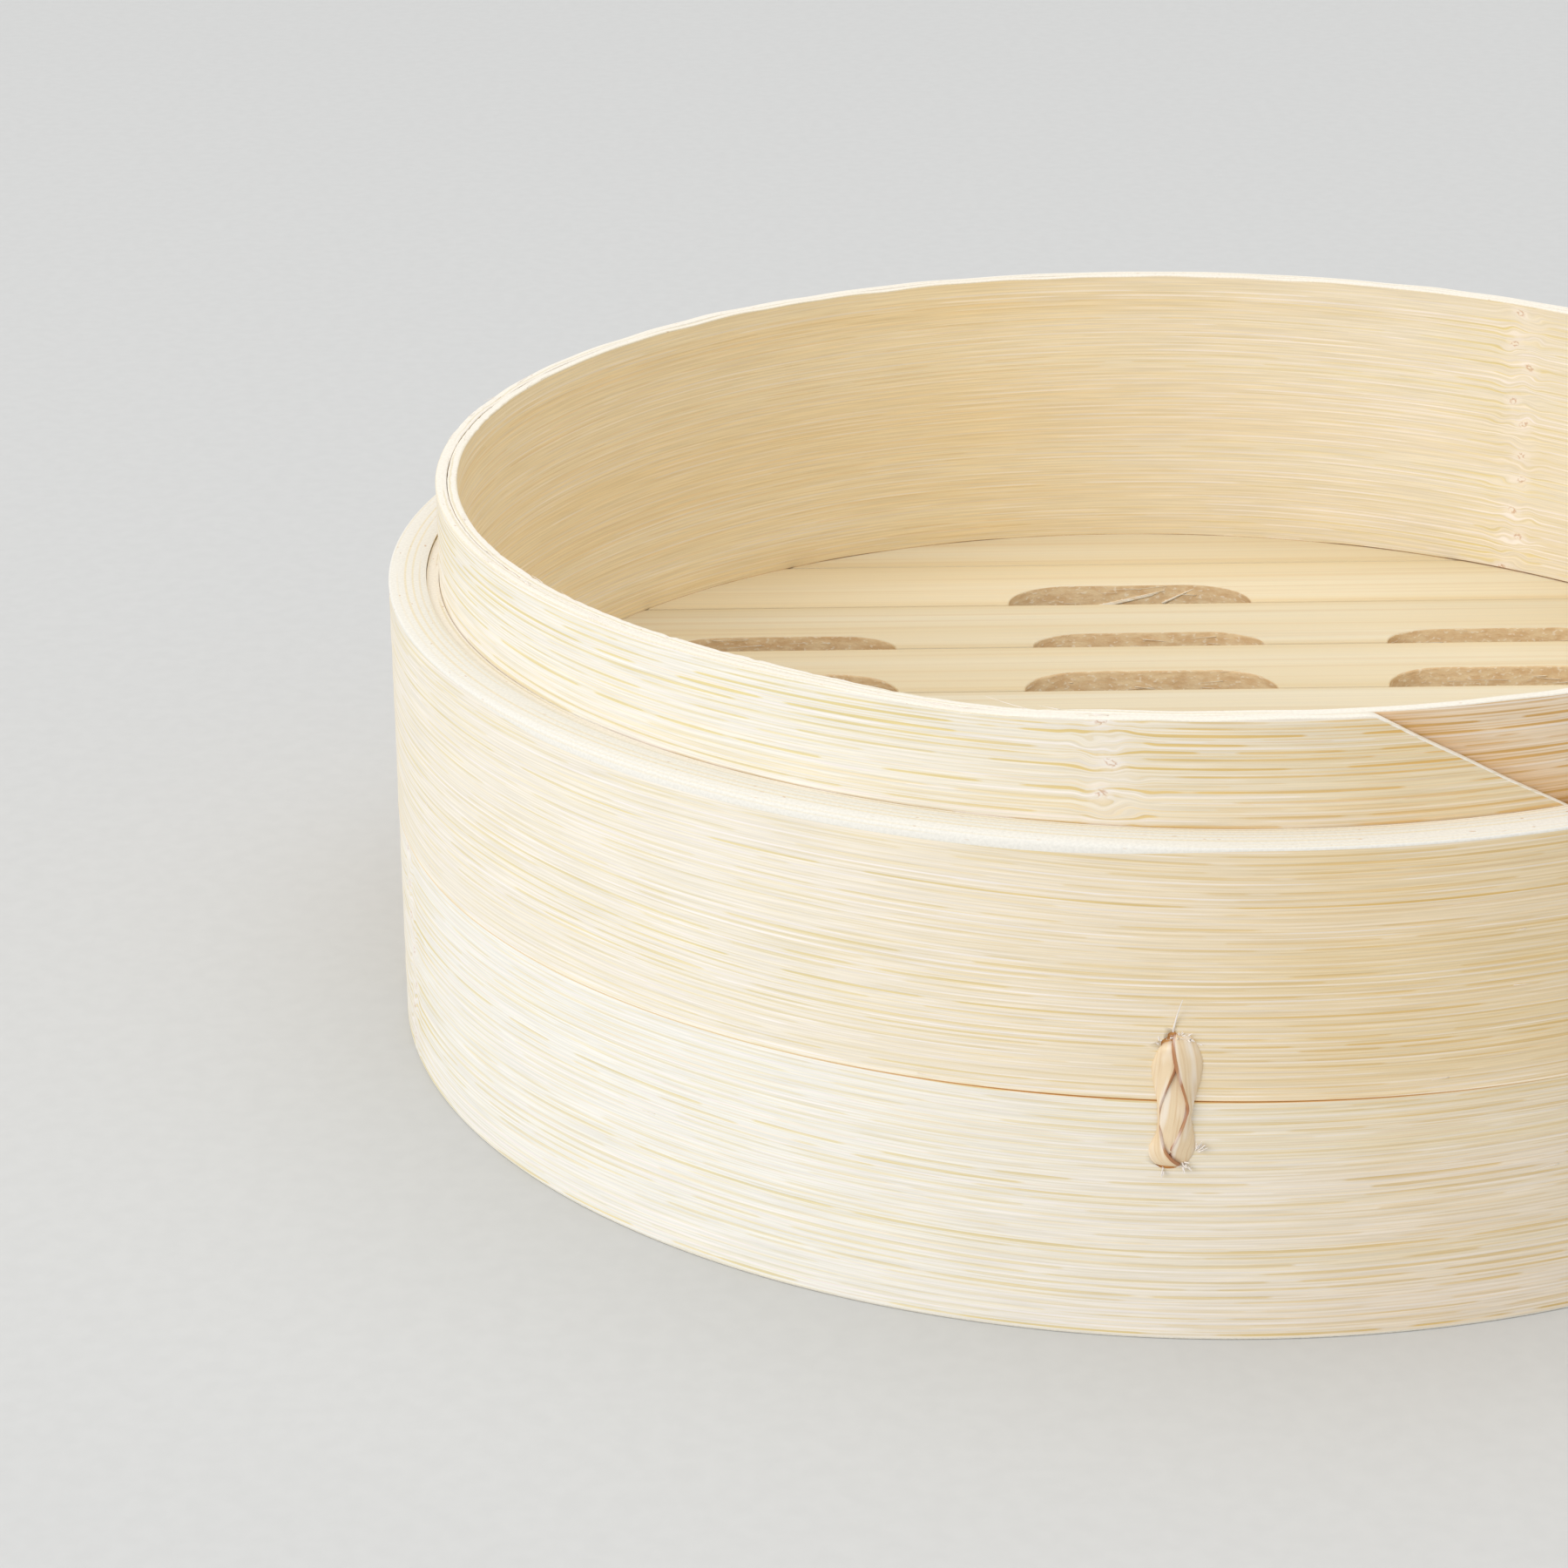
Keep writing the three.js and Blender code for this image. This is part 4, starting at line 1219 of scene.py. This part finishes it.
# Strands of a tie, in millimetres: along each, the left and the right edge, as across, up and outward
STRANDS = (
    # Middle strand, under the others at both ends
    ((-0.7, 7.21, -3.0, 1.1, 7.21, -3.0), (-0.8, 6.68, -0.4, 1.1, 6.68, -0.4),
     (-1.0, 4.77, 0.2, 1.3, 4.77, 0.2), (-1.3, 2.65, 0.3, 1.5, 2.65, 0.35),
     (-1.6, 0.0, 0.35, 1.6, 0.21, 0.55), (-1.68, -2.12, 0.4, 1.4, -1.7, 0.65),
     (-1.7, -3.82, 0.35, 0.85, -3.6, 0.6), (-1.5, -5.3, 0.4, 0.3, -5.3, 0.5),
     (-1.2, -6.57, 0.0, 0.4, -6.57, 0.1), (-1.2, -7.42, -3.0, 0.4, -7.42, -3.0)),
    # From the upper hole down the left edge, then across to the right, over the others at the foot
    ((-1.5, 7.0, -3.0, -0.2, 7.1, -3.0), (-1.8, 6.57, -0.4, -0.2, 7.0, 0.1),
     (-2.4, 5.19, -0.1, 0.1, 5.72, 0.65), (-2.7, 3.92, -0.1, 0.2, 4.45, 0.75),
     (-2.5, 2.44, -0.08, -0.35, 2.86, 0.8),
     (-2.12, 0.85, -0.05, -0.96, 1.27, 0.75), (-1.83, -0.42, 0.0, -1.4, -0.21, 0.62),
     (-1.75, -1.48, 0.1, -1.45, -1.48, 0.45), (-1.72, -2.76, 0.1, -1.45, -2.76, 0.45),
     (-1.85, -3.92, 0.0, -1.38, -3.71, 0.7), (-2.35, -4.98, -0.06, -1.05, -5.19, 0.9),
     (-2.78, -6.04, -0.1, -0.6, -6.15, 1.05), (-2.7, -7.0, -0.12, 0.1, -7.0, 1.0),
     (-2.35, -7.63, -0.15, 0.8, -7.63, 0.65), (-1.9, -7.95, -0.4, 0.8, -7.9, -0.2),
     (-1.3, -7.95, -3.0, 0.5, -7.95, -3.0)),
    # From the upper hole down the right edge, over the left strand, then across to the left
    ((-0.1, 7.74, -3.0, 1.4, 7.74, -3.0), (-0.3, 7.95, -0.3, 1.7, 7.9, -0.4),
     (-0.5, 7.1, 0.6, 2.35, 7.0, -0.15), (-0.38, 5.83, 1.0, 2.9, 5.51, -0.12),
     (-0.1, 4.56, 1.15, 3.02, 4.35, -0.1), (0.3, 3.18, 1.2, 2.86, 2.86, -0.1),
     (0.8, 1.7, 1.15, 2.5, 1.38, -0.08), (1.2, 0.42, 1.0, 2.15, 0.11, -0.05),
     (1.42, -0.74, 0.85, 1.98, -0.85, 0.05), (1.25, -1.59, 0.8, 1.85, -1.59, 0.1),
     (1.05, -2.33, 0.85, 1.88, -2.44, 0.05), (0.7, -3.29, 0.85, 2.15, -3.5, -0.05),
     (0.1, -4.66, 0.75, 2.4, -4.98, -0.08), (-0.5, -5.94, 0.6, 2.36, -6.15, -0.1),
     (-0.3, -7.1, 0.3, 1.85, -7.31, -0.15), (0.0, -7.63, -0.4, 1.3, -7.74, -0.5),
     (0.0, -7.63, -3.0, 1.2, -7.63, -3.0)),
    # Inner run, behind the bands
    ((-1.3, 7.1, -2.6, 1.3, 7.1, -2.6), (-2.3, 7.0, -4.9, 2.3, 7.0, -4.9),
     (-2.3, 5.72, -5.8, 2.3, 5.72, -5.8), (-2.2, 0.0, -5.8, 2.2, 0.0, -5.8),
     (-2.3, -5.72, -5.8, 2.3, -5.72, -5.8), (-2.3, -7.31, -4.9, 2.3, -7.31, -4.9),
     (-1.3, -7.42, -2.6, 1.3, -7.42, -2.6)),
)
STRAND_STEPS = 7
STRAND_SIDES = 16
STRAND_FLATNESS = 0.75  # lower is flatter, with a tighter rounding of the strand's edges
STRAND_SHIFT = 0.1  # metres of grain from one strand to the next


def curved(points, steps):
    """Points of a smooth curve through the given ones."""
    found = []
    for i in range(len(points) - 1):
        p0, p1, p2, p3 = (points[max(0, min(len(points) - 1, k))] for k in (i - 1, i, i + 1, i + 2))
        for step in range(steps):
            t = step / steps
            square, cube = t * t, t ** 3
            weights = (
                2 * square - t - cube,
                2 - 5 * square + 3 * cube,
                t + 4 * square - 3 * cube,
                cube - square,
            )
            found.append([
                sum(w * v for w, v in zip(weights, values)) / 2
                for values in zip(p0, p1, p2, p3)])
    return found + [list(points[-1])]


def sweep_strand(shape, layer, edges, thickness, outer, shift):
    """Adds one flat strand, rounded at its edges, between two edges that are bent round the bands."""
    def bent(across, up, out):
        turn = across * MM / outer
        radius = outer + out * MM
        return Vector((radius * math.sin(turn), up * MM, radius * math.cos(turn) - outer))

    path = curved(edges, STRAND_STEPS)
    rows = [(bent(*row[:3]), bent(*row[3:])) for row in path]
    top = STRAND_SIDES // 2 - 1
    raised_sides = [(0, 1) if row[5] > row[2] else (top, top - 1) for row in path]
    centres = [(left + right) / 2 for left, right in rows]
    rings, runs, along = [], [], 0.0
    for i, (left, right) in enumerate(rows):
        before, after = centres[max(0, i - 1)], centres[min(len(rows) - 1, i + 1)]
        half = (right - left) / 2
        normal = (after - before).cross(half).normalized()
        along += (centres[i] - before).length
        ring = []
        for k in range(STRAND_SIDES):
            a = math.tau * k / STRAND_SIDES
            wide = math.copysign(abs(math.cos(a)) ** STRAND_FLATNESS, math.cos(a))
            thick = math.copysign(abs(math.sin(a)) ** STRAND_FLATNESS, math.sin(a))
            ring.append(shape.verts.new(centres[i] + half * wide + normal * (thickness / 2 * thick)))
            runs.append((along + shift, wide * half.length + shift))
        rings.append(ring)
    for i in range(len(rings) - 1):
        for k in range(STRAND_SIDES):
            n = (k + 1) % STRAND_SIDES
            face = shape.faces.new((rings[i][k], rings[i][n], rings[i + 1][n], rings[i + 1][k]))
            face.smooth = True
            # The underside and the raised edge take the second material: the cane's rough underside, and
            # painted red-brown shade along the overlaps.
            face.material_index = 1 if k > top or k in raised_sides[i] else 0
            for loop, (row, side) in zip(face.loops, ((i, k), (i, n), (i + 1, n), (i + 1, k))):
                loop[layer].uv = runs[row * STRAND_SIDES + side]
    shape.faces.new(reversed(rings[0]))
    shape.faces.new(rings[-1])


class STEAMER_OT_ties(bpy.types.Operator):
    """Plaits the split cane ties that lace the two bands together"""
    bl_idname = "steamer.ties"
    bl_label = "Plait the cane ties"

    def execute(self, context):
        sizes, colours = context.scene.steamer_sizes, context.scene.steamer_colours
        materials = [split_cane("rattan_peeled_split", colours, colours.cane),
                     split_cane("rattan_split_underside", colours, colours.cane_under_and_shade)]
        _, outer = radii("upper_band")
        for name, place in zip(("front_tie", "rear_tie"), tie_frames(sizes)):
            shape, layer = new_shape()
            for i, edges in enumerate(STRANDS):
                sweep_strand(shape, layer, edges, sizes.cane_thickness, outer, STRAND_SHIFT * i)
            bmesh.ops.recalc_face_normals(shape, faces=shape.faces)
            mesh = shape_mesh(f"plaited_{name}", shape)
            mesh.transform(place)
            piece = link_piece(mesh, materials)
            dress(piece, name)
        return {"FINISHED"}


# Torn fibres at a tie, in millimetres: root and heading across, up and outward, their number and reach
TUFTS = (
    ((-0.4, 8.48, 0.0), (0.14, 1.0, 0.05), 1, 3.6),
    ((1.5, 7.84, 0.1), (0.6, 0.3, 0.4), 6, 0.8),
    ((2.4, 7.0, 0.1), (0.7, 0.3, 0.3), 2, 0.4),
    ((-1.7, 7.1, 0.1), (-0.3, 0.6, 0.4), 3, 0.5),
    ((-1.0, 7.63, -0.1), (0.9, 0.1, 0.3), 3, 0.9),
    ((0.4, 7.95, 0.1), (0.3, 0.4, 0.5), 6, 0.7),
    ((2.8, -5.94, 0.1), (0.5, 0.8, 0.15), 18, 1.2),
    ((1.3, -7.84, 0.1), (0.5, -0.3, 0.3), 16, 0.9),
    ((-1.1, -8.69, 0.05), (-0.1, -0.8, 0.1), 9, 0.8),
)
# Loose fibres along the strips: piece, slot, number, first and last place in degrees, and longest reach
WHISKERS = (
    ("torn_rim_fibres", "neck_bamboo", 34, -205, -100, 5 * MM),
    ("torn_band_fibres", "upper_bamboo", 16, -215, -60, 4 * MM),
)
# Sliver in the slots of one slat: each fibre's ends, as place along the slot and share of its height
SPLINTER_SLAT = "slat_02"
SPLINTER = (
    ((-5.6 * MM, 0.28), (6.0 * MM, 0.8)),
    ((-4.8 * MM, 0.27), (4.2 * MM, 0.66)),
    ((-3.8 * MM, 0.33), (5.0 * MM, 0.72)),
    ((5.5 * MM, 0.4), (10.5 * MM, 0.86)),
)
FIBRE_SEED = 5  # of the random places and bends
HAIR_STEPS = 5
HAIR_SIDES = 4
HAIR_TAPER = 0.7  # share of its thickness that a fibre loses towards its end
TUFT_SPREAD = 0.3  # how far the roots of a tuft lie aside, in millimetres
TUFT_SPLAY = 1.5  # how much more their headings part
TUFT_BEND = 0.5  # how far a single fibre at a tie bends aside, as a share of its reach
SLOT_HAIRS = 10  # loose fibres in each slot
SLOT_BEND = 0.06  # how far those bend aside, as a share of their reach
WHISKER_BEND = 0.08  # how far those along the strips do

# Thickness of the fibres, as shares of the fibre radius
TUFT_GIRTHS = (1.4, 2.2)
SPLINTER_GIRTH = 3.6
SLOT_GIRTHS = (0.5, 1.2)
WHISKER_GIRTH = 0.6


def sweep_hair(shape, layer, points, radius):
    """Adds one thin fibre along points, finer towards its end."""
    rings = []
    for i, point in enumerate(points):
        heading = (points[min(i + 1, len(points) - 1)] - points[max(i - 1, 0)]).normalized()
        side = heading.orthogonal().normalized()
        other = heading.cross(side)
        size = radius * (1 - HAIR_TAPER * i / (len(points) - 1))
        turns = [math.tau * k / HAIR_SIDES for k in range(HAIR_SIDES)]
        spokes = [side * math.cos(a) + other * math.sin(a) for a in turns]
        rings.append([shape.verts.new(point + spoke * size) for spoke in spokes])
    faces = [shape.faces.new((ring[k - 1], ring[k], after[k], after[k - 1]))
             for ring, after in zip(rings, rings[1:]) for k in range(HAIR_SIDES)]
    faces += [shape.faces.new(reversed(rings[0])), shape.faces.new(rings[-1])]
    for face in faces:
        face.smooth = True
        for loop in face.loops:
            loop[layer].uv = (loop.vert.co.x + loop.vert.co.z, loop.vert.co.y)


def curl(dice, root, heading, reach, bend):
    """Points of a fibre that leaves its root along a heading and bends aside."""
    aside = Vector(dice.uniform(-1, 1) for _ in range(3))
    return [root + heading * (reach * t) + aside * (bend * reach * t * t)
            for t in (i / HAIR_STEPS for i in range(HAIR_STEPS + 1))]


def fibre_piece(name, shape, material):
    """An object of all the fibres in a shape, which rides with the tier."""
    bmesh.ops.recalc_face_normals(shape, faces=shape.faces)
    piece = link_piece(shape_mesh(name, shape), [material])
    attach(piece, "root")


def slot_wall(sizes, plan, slot, x, share):
    """A point of a slot's sloping and uneven back, at a place along it and a share of its height."""
    front = plan.low.y + sizes.slat_gap
    back = front + slot.depth + slot_waver(sizes, x, front) - sizes.slot_slope * (1 - share)
    return Vector((x, back, plan.low.z + share * (plan.high.z - plan.low.z)))


def tie_fibres(sizes, dice):
    """Shape of the torn fibres at the ties' holes."""
    shape, layer = new_shape()
    for place in tie_frames(sizes):
        for root, heading, count, reach in TUFTS:
            for _ in range(count):
                jitter, share = Vector(), 1.0
                if count > 1:
                    jitter = Vector(dice.uniform(-TUFT_SPREAD, TUFT_SPREAD) for _ in range(3))
                    share = dice.uniform(0.5, 1.0)
                along = (Vector(heading) + jitter * TUFT_SPLAY).normalized()
                bend = TUFT_BEND / count ** 0.5
                points = curl(dice, Vector(root) + jitter, along, reach * share, bend)
                placed = [place @ (point * MM) for point in points]
                sweep_hair(shape, layer, placed, sizes.fibre_radius * dice.uniform(*TUFT_GIRTHS))
    return shape


def slot_fibres(sizes, dice):
    """Shape of the fibres in the slots: a sliver in those of one slat, and loose ones along each back."""
    shape, layer = new_shape()
    turn = deck_turn(sizes)
    for plan in slat_plans(sizes):
        for slot in plan.slots:
            curve = slot_curve(sizes, slot, plan.low.y + sizes.slat_gap)
            slivers = SPLINTER if plan.name == SPLINTER_SLAT else ()
            for start, end in slivers:
                places = [Vector(start).lerp(Vector(end), i / HAIR_STEPS) for i in range(HAIR_STEPS + 1)]
                points = [turn @ slot_wall(sizes, plan, slot, slot.column + x, share)
                          for x, share in places]
                sweep_hair(shape, layer, points, SPLINTER_GIRTH * sizes.fibre_radius)
            for _ in range(SLOT_HAIRS):
                x, _ = dice.choice(curve[3:-3])
                x += dice.uniform(-1, 1) * sizes.slot_length / 4
                x = max(curve[4][0], min(curve[-5][0], x))
                root = slot_wall(sizes, plan, slot, x, dice.uniform(0.1, 0.95))
                root.y -= 2 * sizes.fibre_radius + dice.uniform(0.0, 0.2) * MM
                side = dice.choice((-1, 1))
                heading = Vector((side, dice.uniform(-0.12, 0.0), dice.uniform(-0.12, 0.12)))
                points = curl(dice, root, heading, dice.uniform(1.5, 6) * MM, SLOT_BEND)
                sweep_hair(shape, layer, [turn @ point for point in points],
                           sizes.fibre_radius * dice.uniform(*SLOT_GIRTHS))
    return shape


def strip_fibres(sizes, dice, on_rim, count, first, last, longest):
    """Shape of the loose fibres along the neck's rim, or else up the bands."""
    _, rim = heights("neck_hoop")
    rim_inner, rim_outer = radii("neck_hoop")
    base, ledge = heights("lower_band")[0], heights("upper_band")[1]
    _, band_outer = radii("upper_band")
    shape, layer = new_shape()
    for _ in range(count):
        turn = math.radians(dice.uniform(first, last))
        outward = Vector((math.cos(turn), math.sin(turn), 0))
        tangent = Vector((-outward.y, outward.x, 0)) * dice.choice((-1, 1))
        if on_rim:
            root = outward * dice.uniform(rim_inner, rim_outer)
            root.z = rim - rim_fall(sizes, turn)
            heading = tangent + Vector((0, 0, dice.uniform(0.0, 0.15)))
            heading += outward * dice.uniform(-0.1, 0.1)
        else:
            root = outward * band_outer
            root.z = base + dice.uniform(0.1, 0.95) * (ledge - base)
            heading = tangent + outward * dice.uniform(0.05, 0.2)
        points = curl(dice, root, heading, dice.uniform(0.3, 1.0) * longest, WHISKER_BEND)
        sweep_hair(shape, layer, points, WHISKER_GIRTH * sizes.fibre_radius)
    return shape


class STEAMER_OT_fibres(bpy.types.Operator):
    """Leaves torn fibres at the ties' holes, in the slots and along the strips"""
    bl_idname = "steamer.fibres"
    bl_label = "Tear the loose fibres"

    def execute(self, context):
        sizes, colours = context.scene.steamer_sizes, context.scene.steamer_colours
        torn = loose_fibre("bamboo_torn_fibre", colours.fibre_end, colours.edge_line)
        sawn = loose_fibre("bamboo_sawn_fibre", colours.sawn_light, colours.sawn)
        dice = random.Random(FIBRE_SEED)
        fibre_piece("torn_tie_fibres", tie_fibres(sizes, dice), torn)
        fibre_piece("torn_slot_fibres", slot_fibres(sizes, dice), sawn)
        for name, slot, *stretch in WHISKERS:
            shape = strip_fibres(sizes, dice, slot == "neck_bamboo", *stretch)
            fibre_piece(name, shape, torn)
        return {"FINISHED"}


# Camera: where the photograph was taken from, and how it was held
CAMERA_PLACE = (-0.05308, -0.53149, 0.23554)
CAMERA_PITCH = math.radians(21.32)
CAMERA_ROLL = math.radians(-0.51)
CAMERA_LENS = 96.54
CAMERA_SENSOR = 36.0

# Soft boxes: name, place, edge lengths and power in watts, all aimed at the tier
SOFT_BOXES = (
    ("key_box", (-2.08, -1.51, 1.16), 1.6, 31.0),
    ("top_box", (0.4, 0.4, 3.6), 4.0, 50.0),
)
AIM_HEIGHT = 0.04
SKY_STRENGTH = 0.75
FLOOR_RADIUS = 8
FLOOR_SIDES = 96


class STEAMER_OT_stage(bpy.types.Operator):
    """Lays the floor and sets up the light and the camera"""
    bl_idname = "steamer.stage"
    bl_label = "Set the stage"

    def execute(self, context):
        colours = context.scene.steamer_colours
        scene = context.scene
        shape = bmesh.new()
        bmesh.ops.create_circle(shape, cap_ends=True, segments=FLOOR_SIDES, radius=FLOOR_RADIUS)
        floor = link_piece(shape_mesh("floor", shape), [paper_sweep(colours)])

        aim = Vector((0, 0, AIM_HEIGHT))
        for name, place, size, power in SOFT_BOXES:
            lamp = bpy.data.lights.new(name, "AREA")
            lamp.size = size
            lamp.energy = power
            box = bpy.data.objects.new(name, lamp)
            box.location = place
            box.rotation_mode = "QUATERNION"
            box.rotation_quaternion = (aim - box.location).to_track_quat("-Z", "Y")
            scene.collection.objects.link(box)

        world = bpy.data.worlds.new("studio")
        world.use_nodes = True
        surround = world.node_tree.nodes["Background"]
        surround.inputs["Color"].default_value = rgba(colours.sky)
        surround.inputs["Strength"].default_value = SKY_STRENGTH
        scene.world = world

        forward = Vector((0, math.cos(CAMERA_PITCH), -math.sin(CAMERA_PITCH)))
        level = Vector((1, 0, 0))
        upright = level.cross(forward)
        right = level * math.cos(CAMERA_ROLL) + upright * math.sin(CAMERA_ROLL)
        up = upright * math.cos(CAMERA_ROLL) - level * math.sin(CAMERA_ROLL)
        lens = bpy.data.cameras.new("camera")
        lens.lens = CAMERA_LENS
        lens.sensor_width = CAMERA_SENSOR
        camera = bpy.data.objects.new("camera", lens)
        turn = Matrix((right, up, -forward)).transposed().to_4x4()
        camera.matrix_world = Matrix.Translation(CAMERA_PLACE) @ turn
        scene.collection.objects.link(camera)
        scene.camera = camera
        scene.view_settings.view_transform = "Standard"
        return {"FINISHED"}


STEPS = (
    STEAMER_OT_stage,
    STEAMER_OT_neck_hoop,
    STEAMER_OT_bands,
    STEAMER_OT_hoops,
    STEAMER_OT_slats,
    STEAMER_OT_crossbars,
    STEAMER_OT_ties,
    STEAMER_OT_fibres,
)


class STEAMER_PT_sidebar(bpy.types.Panel):
    """Lists the making of the tier and its sizes and colours"""
    bl_idname = "STEAMER_PT_sidebar"
    bl_label = "Bamboo steamer"
    bl_space_type = "VIEW_3D"
    bl_region_type = "UI"
    bl_category = "Steamer"

    def draw(self, context):
        for step in STEPS:
            self.layout.operator(step.bl_idname)
        for group in (context.scene.steamer_sizes, context.scene.steamer_colours):
            box = self.layout.box()
            for key in group.__annotations__:
                box.prop(group, key)


CLASSES = (SteamerSizes, SteamerColours, *STEPS, STEAMER_PT_sidebar)


def register():
    for cls in CLASSES:
        bpy.utils.register_class(cls)
    bpy.types.Scene.steamer_sizes = PointerProperty(type=SteamerSizes)
    bpy.types.Scene.steamer_colours = PointerProperty(type=SteamerColours)


def unregister():
    del bpy.types.Scene.steamer_colours
    del bpy.types.Scene.steamer_sizes
    for cls in reversed(CLASSES):
        bpy.utils.unregister_class(cls)


def main():
    register()
    bpy.ops.steamer.stage()
    bpy.ops.steamer.neck_hoop()
    bpy.ops.steamer.bands()
    bpy.ops.steamer.hoops()
    bpy.ops.steamer.slats()
    bpy.ops.steamer.crossbars()
    bpy.ops.steamer.ties()
    bpy.ops.steamer.fibres()


if __name__ == "__main__":
    main()
